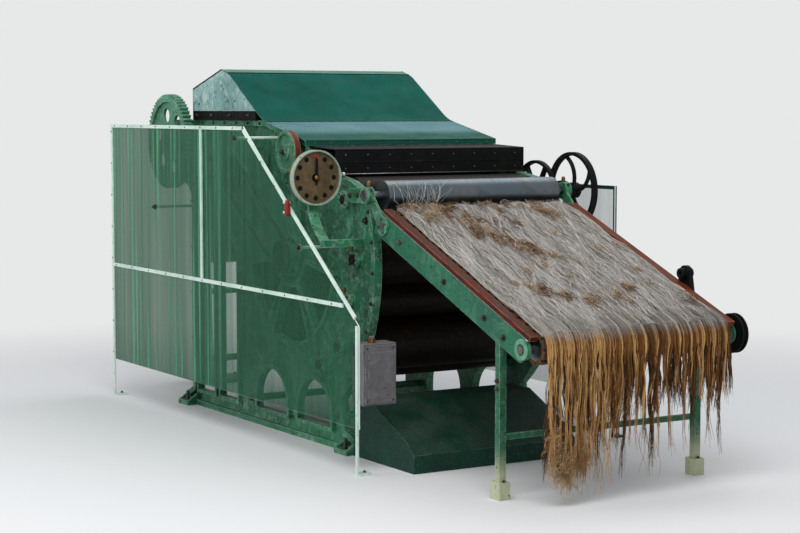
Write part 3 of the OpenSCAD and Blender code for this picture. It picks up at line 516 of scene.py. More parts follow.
def both_sides(x, places):
    """Each place (y, z) at x on both sides, as a point and its outward direction."""
    for side in (-1, 1):
        for y, z in places:
            yield Vector((side * x, y, z)), Vector((side, 0, 0))


def ring(centre, side, other, radius, count, turn=0.0):
    """Points spaced evenly on a circle."""
    angles = [turn + TURN * i / count for i in range(count)]
    return [centre + radius * (side * math.cos(a) + other * math.sin(a)) for a in angles]


# A washer, a chamfered nut and a thread's end, as (profile, sides, turn) for a nut of radius 1
BOLT = ((((0, 1.35), (0.15, 1.35), (0.2, 1.28)), 16, 0.0),
        (((0.2, 1), (0.92, 1), (1.06, 0.86)), 6, 0.3),
        (((1.0, 0.52), (1.45, 0.52), (1.55, 0.42)), 10, 0.0))
# A domed head of radius 1
RIVET = ((((0, 1), (0.3, 0.94), (0.55, 0.62), (0.65, 0.2)), 8, 0.0),)


class Batch:
    """Many small solids joined in one piece of the scene."""

    made = []

    def __init__(self, name, mat, body=MACHINE, smooth=False, slot=None):
        self.verts, self.faces = [], []
        self.name, self.mat, self.body, self.smooth = name, mat, body, smooth
        self.slot = slot or SLOT_OF[mat]
        Batch.made.append(self)

    def piece(self):
        made = mesh_object(self.name, self.verts, self.faces, self.mat, self.smooth)
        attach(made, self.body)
        return made

    def add(self, verts, faces):
        start = len(self.verts)
        self.verts.extend(verts)
        self.faces.extend([tuple(start + i for i in f) for f in faces])

    def skin(self, rings, looped=False):
        """A skin over rings of points, closed at both ends or joined end to end."""
        count, sides = len(rings), len(rings[0])
        last = (count - 1) * sides
        faces = [] if looped else [tuple(reversed(range(sides))), tuple(range(last, last + sides))]
        for k in range(count if looped else count - 1):
            near, far = k * sides, (k + 1) % count * sides
            for i in range(sides):
                j = (i + 1) % sides
                faces.append((near + i, near + j, far + j, far + i))
        self.add([point for points in rings for point in points], faces)

    def lathe(self, centre, axis, profile, sides, turn=0.0, looped=False):
        """A solid of revolution; profile is a list of (distance along the axis, radius)."""
        centre, axis = Vector(centre), Vector(axis).normalized()
        side = axis.orthogonal().normalized()
        self.skin([ring(centre + axis * dist, side, axis.cross(side), radius, sides, turn)
                   for dist, radius in profile], looped)

    def tube(self, centre, axis, inner, outer, depth, sides):
        """A flat ring with a square section."""
        self.lathe(centre, axis, [(0, outer), (depth, outer), (depth, inner), (0, inner)], sides, looped=True)

    def fixing(self, kind, spots, axis, radius):
        """Bolts or rivets that face the same way."""
        for spot in spots:
            for profile, sides, turn in kind:
                self.lathe(spot, axis, [(radius * d, radius * r) for d, r in profile], sides, turn)

    def bolts(self, spots, axis, radius):
        self.fixing(BOLT, spots, axis, radius)

    def rivets(self, spots, axis, radius):
        self.fixing(RIVET, spots, axis, radius)

    def side_bolts(self, x, places, radius):
        """Bolts at places (y, z) on both sides, facing outwards."""
        for spot, out in both_sides(x, places):
            self.bolts([spot], out, radius)

    def bar(self, start, end, across, width, depth):
        """A bar of rectangular section; depth grows along the cross direction."""
        start, end, across = Vector(start), Vector(end), Vector(across).normalized()
        thick = (end - start).normalized().cross(across).normalized()
        half, thick = across * (width / 2), thick * depth
        outline = [thick - half, thick + half, half, -half]
        self.skin([[point + corner for corner in outline] for point in (start, end)])

    def box(self, low, high):
        (x0, y0, z0), (x1, y1, z1) = low, high
        self.skin([[(x0, y0, z), (x1, y0, z), (x1, y1, z), (x0, y1, z)] for z in (z0, z1)])

    def wire(self, path, radius, sides=8):
        """A round bar along a list of points."""
        path = [Vector(p) for p in path]
        rings = []
        for k, point in enumerate(path):
            ahead = path[min(k + 1, len(path) - 1)] - path[max(k - 1, 0)]
            side = ahead.orthogonal() if abs(ahead.x) > 0.9 * ahead.length else ahead.cross(RIGHT)
            side.normalize()
            rings.append(ring(point, side, ahead.normalized().cross(side), radius, sides))
        self.skin(rings)

    def rod(self, half, y, z, radius, sides=8):
        """A round bar across the machine."""
        self.wire([(-half, y, z), (half, y, z)], radius, sides)


# Fixings of the frames

def bearing_flanges():
    """A flange with a split cap over each journal on the outside of both frames."""
    flanges = Batch("bearing_flanges", "green")
    joints = Batch("bearing_splits", "ink")
    bolts = Batch("bearing_bolts", "bolt")
    bore, flange_r, flange_t, bolt_circle = 0.0292, 0.051, 0.007, 0.041
    upper_draw = (DRAW.at[0], DRAW.at[1] + 0.121)
    for spot, out in both_sides(SIDE_X, [*STRIPPERS, *WORKERS, DOFFER, DRAW.at, upper_draw, FEED.at]):
        flanges.tube(spot, out, bore, flange_r, flange_t, 28)
        bolts.bolts(ring(spot + out * flange_t, BACK, UP, bolt_circle, 4, math.pi / 4), out, 0.0052)
        for way in (-1, 1):
            low = spot + Vector((out.x * flange_t - 0.002, way * 0.040 - 0.011, -0.0015))
            joints.box(low, low + Vector((0.004, 0.022, 0.003)))
    for spot, out in both_sides(SIDE_X, [(CYL_Y, CYL_Z)]):
        bolts.bolts(ring(spot, BACK, UP, 0.103, 6), out, 0.010)
        flanges.tube(spot + out * 0.036, out, 0.0462, 0.074, 0.006, 32)


def oil_cups():
    """Small brass oil cups on top of the bearings."""
    cups = Batch("oil_cups", "brass")
    profile = [(0, 0.005), (0.010, 0.005), (0.011, 0.011), (0.030, 0.011), (0.034, 0.008), (0.037, 0.003)]
    bearings = [*STRIPPERS, *WORKERS, DOFFER, PRESS.at, (CYL_Y, CYL_Z + 0.03)]
    for spot, _ in both_sides(SIDE_X + 0.012, bearings):
        cups.lathe(spot + 0.046 * UP, UP, profile, 14)


def frame_bolts():
    """Nuts of the stays, bolts round the bend and along the top and the post, and the foundation nuts."""
    bolts = Batch("frame_bolts", "bolt")
    stays = [(-0.470, 0.190), (0.640, 0.150), (1.440, 0.300), (1.420, 1.320), (1.640, 1.840),
             round_cylinder(0.915, 164), (1.332, 1.591)]
    bolts.side_bolts(PAD_X, stays, 0.017)
    bolts.side_bolts(SIDE_X, [round_cylinder(0.983, degrees) for degrees in range(162, 232, 10)], 0.009)
    bolts.side_bolts(SIDE_X, [(y, FRAME.high.z - 0.017) for y in row(0.48, 1.62, 8)], 0.008)
    bolts.side_bolts(SIDE_X, [(1.463, z) for z in (0.45, 0.75, 1.05, 1.35)], 0.009)
    for foot, _ in both_sides(SIDE_X + 0.035, [(-0.630, FOOT_TOP), (1.490, FOOT_TOP)]):
        bolts.bolts([foot], UP, 0.017)
        bolts.lathe(foot + 0.014 * UP, UP, [(0, 0.0098), (0.045, 0.0098), (0.048, 0.0082)], 14)


def roller_pins():
    """Steel pins in staggered rows on the rollers that show."""
    end_gap = 0.030
    half = SIDE_X - FRAME_T - end_gap
    wide, sunk, hook = 0.0013, 0.004, 0.003
    for name, (y, z), radius, pitch, tall, body in (
            ("feed_pins", FEED.at, FEED_R, 0.020, 0.0035, "feed_rotor"),
            ("upper_stripper_pins", STRIPPERS[0], 0.150, 0.026, 0.0035, MACHINE),
            ("lower_stripper_pins", STRIPPERS[1], 0.150, 0.026, 0.0035, MACHINE),
            ("upper_worker_pins", WORKERS[0], 0.100, 0.024, 0.0035, MACHINE),
            ("doffer_pins", DOFFER, 0.190, 0.034, 0.0035, MACHINE),
            ("cylinder_pins", (CYL_Y, CYL_Z), CYL_R, 0.034, 0.0020, MACHINE)):
        pins = Batch(name, "pin", body)
        around, along = int(TURN * radius / pitch), int(2 * half / pitch)
        for i in range(along):
            middle = Vector((-half + (i + 0.5) * 2 * half / along, y, z))
            for j in range(around):
                angle = TURN * (j + 0.5 * (i % 2)) / around
                out = Vector((0, math.cos(angle), math.sin(angle)))
                lean = Vector((0, -math.sin(angle), math.cos(angle)))
                root = middle + out * (radius - sunk)
                rear = root - RIGHT * (wide / 2)
                tip = root + out * (sunk + tall) + lean * hook
                pins.add([root + RIGHT * wide, rear + lean * wide, rear - lean * wide, tip],
                         [(0, 1, 3), (1, 2, 3), (2, 0, 3), (2, 1, 0)])


def chain_line(half_plate):
    """Points (y, z) round the chain's two wheels, closed."""
    (y0, z0), r0 = (CYL_Y, CYL_Z), 0.092 + half_plate
    (y1, z1), r1 = DOFFER, 0.115 + half_plate
    base = math.atan2(z1 - z0, y1 - y0)
    lean = math.asin((r1 - r0) / math.hypot(y1 - y0, z1 - z0))
    quarter = math.pi / 2
    path = [(y0 + r0 * math.cos(a), z0 + r0 * math.sin(a))
            for a in row(base + quarter + lean, base + 3 * quarter - lean, 24)]
    path += [(y1 + r1 * math.cos(a), z1 + r1 * math.sin(a))
             for a in row(base - quarter - lean, base + quarter + lean, 30)]
    return np.array([*path, path[0]])


def chain_links():
    """Side plates and pins of the chain that runs round its two wheels."""
    plates = Batch("chain_plates", "chain")
    pins = Batch("chain_pins", "bright")
    pitch, plate_t = 0.0381, 0.0016
    path = chain_line(0.0063)
    dist = np.concatenate([[0], np.cumsum(np.hypot(*np.diff(path, axis=0).T))])
    count = 2 * int(dist[-1] / pitch / 2)
    where = row(0, dist[-1], count + 1)
    spots = [Vector((0, np.interp(w, dist, path[:, 0]), np.interp(w, dist, path[:, 1]))) for w in where]
    near_x = -(CHAIN_X + CHAIN_W) + 0.003
    for i, (a, b) in enumerate(zip(spots, spots[1:])):
        lift = 0.0 if i % 2 else plate_t
        past = (b - a).normalized() * 0.006
        for face, way in ((near_x, -1), (near_x + 0.016, 1)):
            x = RIGHT * (face + way * lift)
            plates.bar(a + x - past, b + x + past, RIGHT.cross(past), 0.015, -way * plate_t)
        pins.lathe(a + RIGHT * (near_x - 0.0045), RIGHT, [(0, 0.0042), (0.025, 0.0042)], 8)


# Hood

def top_line(node):
    """The upper outline of a folded sheet as a sorted list of (y, z)."""
    heights = {}
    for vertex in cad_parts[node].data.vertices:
        y = round(vertex.co.y, 4)
        heights[y] = max(heights.get(y, 0.0), vertex.co.z)
    return sorted(heights.items())


HOOD_LINE = [top_line("hood_front_lower")[0], *top_line("hood_front_upper"), top_line("hood_back")[-1]]
BROW_Y = HOOD_LINE[-3][0]


def hood_point(x, y):
    """A point on top of the hood's sheets at a place along the machine."""
    return Vector((x, y, np.interp(y, *zip(*HOOD_LINE))))


def hood_trim():
    """Rivets along the edges, the ridge cap with its dark joint, and the beads of the lip and the ends."""
    rivets = Batch("hood_rivets", "teal")
    cap = Batch("hood_ridge_cap", "ridge")
    beads = Batch("hood_beads", "cover", smooth=True, slot="teal_paint")
    dark = Batch("hood_joints", "black", smooth=True)
    half, end = HOOD.high.x - 0.016, HOOD.high.x - 0.002
    fold_y = KNEE.high.y
    rows = [*row(KNEE.low.y + 0.03, fold_y - 0.02, 8), *row(fold_y + 0.08, 0.80, 6), *row(1.03, 1.38, 6)]
    rivets.rivets([hood_point(x, y) for y in rows for x in (-half, half)], (0, -0.2, 1), 0.0050)
    across = row(-half + 0.05, half - 0.05, 17)
    rivets.rivets([hood_point(x, y) for y in (fold_y - 0.014, BROW_Y - 0.030) for x in across],
                  (0, -0.3, 1), 0.0040)
    lip_middle = KNEE.low.z + 0.5 * HOOD_LIP
    rivets.rivets([(x, KNEE.low.y, lip_middle) for x in row(-half + 0.05, half - 0.05, 12)],
                  -BACK, 0.0040)
    folds = [hood_point(0, y) for y in (BROW_Y, BROW.high.y, BROW.high.y + 0.030)]
    reach = RIGHT * (HOOD.high.x - 0.001)
    for a, b in zip(folds, folds[1:]):
        cap.bar((a + b) / 2 - reach, (a + b) / 2 + reach, b - a, (b - a).length, 0.0020)
    for y, radius in ((BROW_Y, 0.0045), (fold_y, 0.0025)):
        dark.rod(end, y, hood_point(0, y).z, radius)
    for x in (0.004 - HOOD.high.x, HOOD.high.x - 0.004):
        dark.wire([hood_point(x, BROW.high.y + 0.004), hood_point(x, HOOD.high.y - 0.006)], 0.0065)
    beads.rod(end, KNEE.low.y + 0.003, KNEE.low.z + HOOD_LIP - 0.003, 0.005, 10)
    beads.rod(end, HOOD.high.y - 0.004, FRAME.high.z + 0.012, 0.005, 10)


def hood_hardware():
    """Bolts of the gable plates and the sills."""
    bolts = Batch("hood_bolts", "bolt")
    bolts.side_bolts(HOOD.high.x, [(y, FRAME.high.z + 0.030) for y in (0.60, 0.86, 1.12, 1.34)], 0.008)
    for spot, out in both_sides(HOOD.high.x, [(0.78, 2.00), (1.30, 1.985), (0.97, 2.10)]):
        bolts.rivets([spot], out, 0.007)


def shroud_trim():
    """Folded lips and fixing screws on the black shroud over the feed roller."""
    lips = Batch("shroud_lips", "black", smooth=True)
    edge = Batch("shroud_lower_lip", "shaft", smooth=True)
    screws = Batch("shroud_screws", "bolt")
    x, y, z = SHROUD.high.x - 0.004, SHROUD.low.y, SHROUD.low.z
    edge.rod(x, y + 0.001, z + 0.004, 0.004)
    lips.rod(x, y + 0.001, z + 0.072, 0.004)
    lips.rod(x, y + 0.001, 1.720, 0.004)
    across = row(-x + 0.06, x - 0.06, 9)
    screws.rivets([(px, y, pz) for px in across for pz in (z + 0.035, 1.690)], -BACK, 0.006)


# Pressing roller and feed table

def press_bearings():
    """Caps, cap bolts and end collars of the pressing roller's bearings."""
    caps = Batch("press_caps", "green")
    bolts = Batch("press_bolts", "bolt")
    collars = Batch("press_collars", "bright", "press_rotor")
    press_y, press_z = PRESS.at
    feed_y, feed_z = FEED.at
    for spot, out in both_sides(SIDE_X + 0.0402, [PRESS.at]):
        caps.tube(spot, out, 0.0245, 0.044, 0.003, 32)
    for way in (-1, 1):
        for seat, _ in both_sides(SIDE_X + 0.020, [(press_y + way * 0.036, press_z + 0.032)]):
            bolts.bolts([seat], (0, way * 0.35, 1), 0.009)
    bracket_x = SIDE_X + 0.014
    bolts.side_bolts(bracket_x, [(feed_y - 0.110, feed_z + 0.030), (feed_y - 0.19, feed_z + 0.034)], 0.012)
    _, top_y, top_z = on_slope(0.0, TABLE_LEN, 0.0)
    corners = [(-0.034, 0.010), (0.034, -0.010), (0.008, 0.036), (-0.010, -0.036)]
    bolts.side_bolts(bracket_x, [(top_y + dy, top_z + dz) for dy, dz in corners], 0.0055)
    collars.tube((-SIDE_X - 0.0462, *PRESS.at), RIGHT, 0.0243, 0.034, 0.003, 28)


def wheel_hardware():
    """The nut and the collar on the ends of the wheels' shafts."""
    nut = Batch("press_wheel_nut", "bolt", "press_rotor")
    collar = Batch("feed_wheel_collar", "bolt", "feed_rotor")
    end = PRESS.high.x
    nut.lathe((end, *PRESS.at), RIGHT, [(0, 0.036), (0.004, 0.036)], 24)
    nut.lathe((end + 0.004, *PRESS.at), RIGHT, [(0, 0.030), (0.012, 0.030), (0.015, 0.026)], 6)
    collar.tube((FEED.high.x, *FEED.at), RIGHT, 0.0282, 0.040, 0.004, 24)


def table_fixings():
    """Bolts on the side plates, screws in the rails, edge strips, eye rings and the legs' bolts."""
    bolts = Batch("table_bolts", "bolt")
    screws = Batch("rail_screws", "bolt")
    # The edge strips take the guard's pale paint, which is partly painted highlight.
    strips = Batch("table_edge_strips", "guard")
    rings = Batch("table_eye_rings", "pale")
    for side in (-1, 1):
        out = RIGHT * side
        plate = ((0.172, -0.024), (0.362, -0.012), (0.767, -0.012), (1.245, -0.012))
        bolts.bolts([on_slope(side * SIDE_X, s, n) for s, n in plate], out, 0.013)
        rail_x = side * (SIDE_X - 0.024)
        screws.rivets([on_slope(rail_x, s, 0.086) for s in row(0.03, TABLE_LEN - 0.04, 6)],
                      OFF_SLOPE, 0.0055)
        ends = [on_slope(side * SIDE_X, s, 0.058) for s in (-0.020, 1.455)]
        strips.bar(*ends, OFF_SLOPE, 0.006, -side * 0.002)
        rings.tube(on_slope(side * (SIDE_X + 0.010), 0.0, 0.0), out, 0.030, 0.053, 0.006, 36)
        bolts.bolts([(side * SIDE_X, LEGS.at[0], z) for z in (0.60, 0.56)], out, 0.011)


def apron_rivets():
    """Rivets that hold the slats to their bands, on the apron's underside."""
    rivets = Batch("apron_rivets", "bolt")
    slats = 20
    rivets.rivets([on_slope(x, i * TABLE_LEN / slats + ds, -0.0783) for i in range(1, slats)
                   for x in (-0.50, -0.17, 0.17, 0.50) for ds in (-0.010, 0.010)], -OFF_SLOPE, 0.0045)


def leg_feet():
    """Bolts of the pale foot blocks."""
    bolts = Batch("foot_bolts", "bolt")
    places = [(LEGS.at[0] + way * 0.030, 0.090) for way in (-1, 1)]
    bolts.bolts([spot for spot, _ in both_sides(LEGS.high.x - 0.032, places)], UP, 0.008)


# Dial

def dial_details():
    """Rim, twelve dots with ticks, the red mark, the side knob, and the hand's blade and cap."""
    rim = Batch("dial_rim", "dial_rim")
    dots = Batch("dial_dots", "ink")
    red = Batch("dial_red_marks", "red")
    knob = Batch("dial_knob", "bright")
    blade = Batch("dial_hand_blade", "ink", "hand")
    cap = Batch("dial_hand_cap", "brass", "hand")
    out = -BACK
    y, z = DIAL.low.y, DIAL.at[1]
    centre = Vector((DIAL_X, y + 0.0185, z))
    rim.tube((DIAL_X, y - 0.0005, z), BACK, DIAL_R - 0.0085, DIAL_R + 0.0005, 0.0315, 64)
    sunk = centre - out * 0.001
    dot_circle, tick_start, tick_end = 0.115, 0.132, 0.141
    for k in range(12):
        angle = math.pi / 2 - k * math.pi / 6
        spot = sunk + dot_circle * Vector((math.cos(angle), 0, math.sin(angle)))
        (dots if k else red).lathe(spot, out, [(0, 0.0145), (0.0016, 0.0145), (0.0022, 0.0135)], 20)
        for step in range(1, 5):
            tick = angle - step * math.pi / 30
            way = Vector((math.cos(tick), 0, math.sin(tick)))
            dots.bar(sunk + way * tick_start, sunk + way * tick_end, way.cross(out), 0.0022, 0.0016)
    dots.lathe(sunk, out, [(0, 0.024), (0.0018, 0.024), (0.0022, 0.023)], 32)
    knob.lathe((DIAL_X + DIAL_R, y + 0.015, z + 0.012), RIGHT,
               [(-0.006, 0.007), (0.010, 0.007), (0.011, 0.016), (0.024, 0.016), (0.027, 0.013)], 18)
    root = Vector((DIAL_X, HAND.low.y - 0.0010, z))
    blade.bar(root, root + UP * 0.108, RIGHT, 0.015, -0.0016)
    cap.lathe(centre + out * 0.012, out, [(0, 0.013), (0.004, 0.013), (0.008, 0.008)], 20)


# Gears and pulleys

def gear_hardware():
    """The small wheel's belt, hub ring and bolts of the large gear, the pinion's collar, the studs' nuts."""
    belt = Batch("idler_belt", "belt")
    hub = Batch("gear_hub_bolts", "bolt", "gear_rotor")
    collar = Batch("pinion_collar", "bolt", "draw_rotor")
    nuts = Batch("stud_nuts", "bolt")
    left = -RIGHT
    face = Vector((GEAR.low.x, *GEAR.at))
    hub.tube(face, left, 0.0305, 0.050, 0.004, 32)
    hub.bolts(ring(face, BACK, UP, 0.041, 6, 0.26), left, 0.0055)
    nuts.lathe(face + left * 0.014, left, [(0, 0.038), (0.005, 0.038)], 28)
    nuts.bolts([face + left * 0.019], left, 0.017)
    nuts.bolts([(IDLER.low.x - 0.014, *IDLER.at)], left, 0.014)
    collar.tube((DRAW.low.x, *DRAW.at), left, 0.0284, 0.040, 0.004, 24)
    belt.tube((IDLER.low.x + 0.003, *IDLER.at), RIGHT, 0.1245, 0.1275, 0.034, 64)


def pulley_hardware():
    """Collar and key of the belt pulleys, collar and bolts of the grooved pulley."""
    fixed = Batch("pulley_collars", "bolt")
    face = Vector((PULLEYS.high.x, CYL_Y, CYL_Z))
    fixed.tube(face, RIGHT, 0.0453, 0.062, 0.012, 32)
    fixed.box(face + Vector((0, -0.006, 0.040)), face + Vector((0.010, 0.006, 0.052)))
    face = Vector((GROOVED.high.x, LOW_Y, LOW_Z))
    fixed.tube(face, RIGHT, 0.0223, 0.034, 0.004, 24)
    fixed.bolts(ring(face, BACK, UP, 0.070, 5), RIGHT, 0.008)


# Guards, boxes and the delivery end

def guard_fixings():
    """Screws and clips that hold the clear sheets, the guards' feet bolts and the red grip."""
    grip = Batch("guard_grip", "red", smooth=True)
    # Grip plates and clips take the guard's pale paint, which is partly painted highlight.
    plates = Batch("guard_grip_plates", "guard")
    screws = Batch("guard_screws", "bolt")
    clips = Batch("guard_clips", "guard")
    screw_r, rod_nut_r, left = 0.006, 0.012, -RIGHT
    front_y, rear_y, post_y = -0.95, 2.05, 2.109
    x, far_x, top_z, middle_z = GUARD.low.x, 0.950, 1.839, 0.900
    knee, nose = np.array((CYL_Y + 0.030, 1.850)), np.array((-1.230, 0.800))
    places = [knee + (nose - knee) * t + (0.007, -0.009) for t in row(0.06, 0.94, 8)]
    places += [(y, top_z) for y in row(0.25, rear_y, 9)]
    places += [(y, middle_z) for y in row(front_y, rear_y, 12)]
    places += [(post_y, z) for z in row(0.30, 1.80, 8)]
    screws.rivets([(x, y, z) for y, z in places], left, screw_r)
    rods = ((-0.560, 1.180), (0.250, 1.780), (1.420, 1.320))
    screws.bolts([(x + 0.010, y, z) for y, z in rods], left, rod_nut_r)
    for y, z in rods:
        clips.tube((x + 0.016, y, z), RIGHT, 0.0092, 0.020, 0.004, 20)
    screws.rivets([(far_x, y, z) for y in row(front_y, rear_y, 10) for z in (1.489, 0.720)], RIGHT, screw_r)
    screws.bolts([(far_x - 0.010, y, z) for y, z in ((-0.560, 1.220), (1.420, 1.320))], RIGHT, rod_nut_r)
    foot_x, foot_y = FAR_GUARD.high.x - 0.055 + 0.035, FAR_GUARD.high.y - 0.030
    feet = ((foot_x, FAR_GUARD.low.y + 0.030), (-0.895, -1.209), (foot_x, foot_y), (-0.895, foot_y))
    screws.bolts([(*foot, 0.012) for foot in feet], UP, 0.008)
    grip_t = (knee[1] - 1.41) / (knee[1] - nose[1])
    grip_y = knee[0] + (nose[0] - knee[0]) * grip_t - 0.030
    profile = [(0, 0.006), (0.003, 0.013), (0.016, 0.0165), (0.062, 0.0165), (0.086, 0.012), (0.092, 0.005)]
    grip.lathe((x - 0.014, grip_y, 1.352), UP, profile, 18)
    for z in (1.372, 1.428):
        plates.box((x - 0.016, grip_y - 0.004, z - 0.006), (x + 0.004, grip_y + 0.050, z + 0.006))


def switch_details():
    """Lid, screws, hinges and the cable gland of the switch box."""
    lid = Batch("switch_lid", "grey")
    screws = Batch("switch_screws", "bolt")
    gland = Batch("switch_gland", "brass")
    x0, x1, y, z0, z1 = SWITCH.low.x, SWITCH.high.x, SWITCH.low.y, SWITCH.low.z, 0.710
    lid.box((x0 + 0.008, y - 0.006, z0 + 0.010), (x1 - 0.008, y, z1 - 0.010))
    lid.box((x0 + 0.028, y - 0.009, z0 + 0.040), (x1 - 0.028, y - 0.006, z1 - 0.045))
    screws.rivets([(px, y - 0.006, pz) for px in (x0 + 0.020, x1 - 0.020) for pz in (z0 + 0.024, z1 - 0.024)],
                  -BACK, 0.006)
    for pz in (z0 + 0.06, z1 - 0.06):
        hinge = Vector((x0 - 0.001, y + 0.004, pz))
        lid.wire([hinge - UP * 0.022, hinge + UP * 0.022], 0.005)
    gland.lathe((-0.850, -1.210, z1), UP,
                [(0, 0.024), (0.006, 0.024), (0.007, 0.0175), (0.022, 0.0175), (0.026, 0.0172)], 20)
    screws.box((x0 + 0.02, SWITCH.high.y, 0.50), (x1 - 0.02, SWITCH.high.y + 0.004, 0.56))


def cover_details():
    """Rivets along the edges of the low cover under the table."""
    rivets = Batch("cover_rivets", "cover")
    x0, x1 = COVER.low.x + 0.020, COVER.high.x - 0.020
    rivet_r = 0.006
    for y, z, axis in ((-0.880, 0.330, UP), (-1.300, 0.1429, (0, -0.65, 0.76)), (-1.350, 0.050, -BACK)):
        rivets.rivets([(x, y, z) for x in row(x0, x1, 12)], axis, rivet_r)
    slope_y, slope_z, rise = -1.280, 0.160, 0.170 / 0.380
    slope = [(y, slope_z + (y - slope_y) * rise) for y in row(-1.25, -0.93, 5)]
    rivets.rivets([(x, *place) for place in slope for x in (x0, x1)], (0, -0.4, 0.9), rivet_r)


def delivery_details():
    """Rolled edges and rivets of the conductor, bearings and bolts of the delivery rollers."""
    beads = Batch("conductor_beads", "teal", smooth=True)
    rivets = Batch("conductor_rivets", "teal")
    bolts = Batch("delivery_bolts", "bolt")
    bearings = Batch("delivery_bearings", "black")
    z_high, z_low, wall = 1.6224, 1.030, 0.110
    wide, slim = CHUTE.high.x - 0.0025, 0.1125
    for side in (-1, 1):
        path = [Vector((side * (wide + (slim - wide) * t), CHUTE.low.y + (CHUTE.high.y - CHUTE.low.y) * t,
                        z_high - (z_high - z_low) * t * t * (3 - 2 * t) + wall)) for t in row(0, 1, 15)]
        beads.wire(path, 0.006)
        rivets.rivets([p + Vector((side * 0.002, 0, -0.095)) for p in path[1:-1]], (side, 0.55, 0), 0.005)
    centre_y, low_z, roller_gap = NIP.at[0], NIP.low.z + 0.072, 0.149
    bearing_t = 0.008
    for spot, out in both_sides(STAND.high.x, [(centre_y, low_z), (centre_y, low_z + roller_gap)]):
        bearings.tube(spot, out, 0.0284, 0.044, bearing_t, 28)
        bolts.bolts(ring(spot + out * bearing_t, BACK, UP, 0.036, 4, math.pi / 4), out, 0.0045)
    feet = both_sides(0.120, [(STAND.low.y + 0.035, FOOT_TOP), (STAND.high.y - 0.040, FOOT_TOP)])
    tops = both_sides(STAND.high.x - 0.011, [(centre_y, STAND.high.z)])
    bolts.bolts([spot for spot, _ in [*feet, *tops]], UP, 0.010)
    bolts.side_bolts(STAND.high.x, [(centre_y - 0.035, 0.655), (centre_y + 0.035, 0.655)], 0.009)


for build in (bearing_flanges, oil_cups, frame_bolts, roller_pins, chain_links, hood_trim, hood_hardware,
              shroud_trim, press_bearings, wheel_hardware, table_fixings, apron_rivets, leg_feet,
              dial_details, gear_hardware, pulley_hardware, guard_fixings, switch_details, cover_details,
              delivery_details):
    build()
for batch in Batch.made:
    batch.piece()


# Loose fibre

LAYER_HALF = 0.578
FRINGE_HALF, FRINGE_FRONT = 0.60, -2.470
LOCKS = 124


def strand_mesh(name, paths, radii, tints, mat):
    """Three-sided tubes along paths of shape (count, points, 3), in one mesh with a tint per strand."""
    count, points, _ = paths.shape
    tangent = np.gradient(paths, axis=1)
    tangent /= np.linalg.norm(tangent, axis=2, keepdims=True) + 1e-9
    side = np.cross(tangent, (0.31, 0.22, 0.92))
    side /= np.linalg.norm(side, axis=2, keepdims=True) + 1e-9
    other = np.cross(tangent, side)
    taper = np.sin(np.linspace(0.12, math.pi - 0.12, points)) ** 0.35
    width = radii[:, None, None] * taper[None, :, None]
    rings = [paths + width * (math.cos(a) * side + 0.55 * math.sin(a) * other)
             for a in (0, TURN / 3, 2 * TURN / 3)]
    verts = np.stack(rings, axis=2).reshape(-1, 3)
    base = (np.arange(count)[:, None, None] * points + np.arange(points - 1)[None, :, None]) * 3
    k = np.arange(3)[None, None, :]
    a, b = base + k, base + (k + 1) % 3
    quads = np.stack([a, b, b + 3, a + 3], axis=3).reshape(-1, 4)
    made = mesh_object(name, verts, quads.tolist(), mat, smooth=True)
    layer = made.data.attributes.new("tint", "FLOAT", "POINT")
    layer.data.foreach_set("value", np.repeat(tints, points * 3).astype(np.float32))
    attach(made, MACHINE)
    return made


def steps(points):
    """The share of a strand's length at each of its points, as a row."""
    return np.linspace(0, 1, points)[None, :]


def flat(rng, low, high, count):
    """A column of random values, even between two ends."""
    return rng.uniform(low, high, count)[:, None]


def bell(rng, spread, count):
    """A column of random values, gathered round zero."""
    return rng.normal(0, spread, count)[:, None]


def smooth_field(rng, waves, x_span, s_span):
    """A random smooth function of (x, s) made of sines, about -1 to 1."""
    freq = rng.uniform(0.5, 1.0, (waves, 2)) * rng.choice([-1, 1], (waves, 2))
    freq *= np.array([TURN / x_span, TURN / s_span])
    freq *= rng.uniform(1, 4, (waves, 1))
    phase = rng.uniform(0, TURN, waves)
    weight = rng.uniform(0.4, 1.0, waves)
    weight /= weight.sum() * 0.5
    return lambda x, s: sum(weight[i] * np.sin(freq[i, 0] * x + freq[i, 1] * s + phase[i])
                            for i in range(waves))


layer_rng = np.random.default_rng(4)
lumps = smooth_field(layer_rng, 9, 0.5, 0.7)
ripple = smooth_field(layer_rng, 9, 0.16, 0.5)


def layer_points(x, s, lift):
    """Points over the top of the jute, which thins towards its edges."""
    edge = np.clip((LAYER_HALF - np.abs(x)) / 0.05, 0, 1) ** 0.5
    thick = (0.024 + 0.010 * lumps(x, s) + 0.004 * ripple(x, s)) * (0.35 + 0.65 * edge)
    return slope_points(x, s, SLAT_TOP + thick + lift)


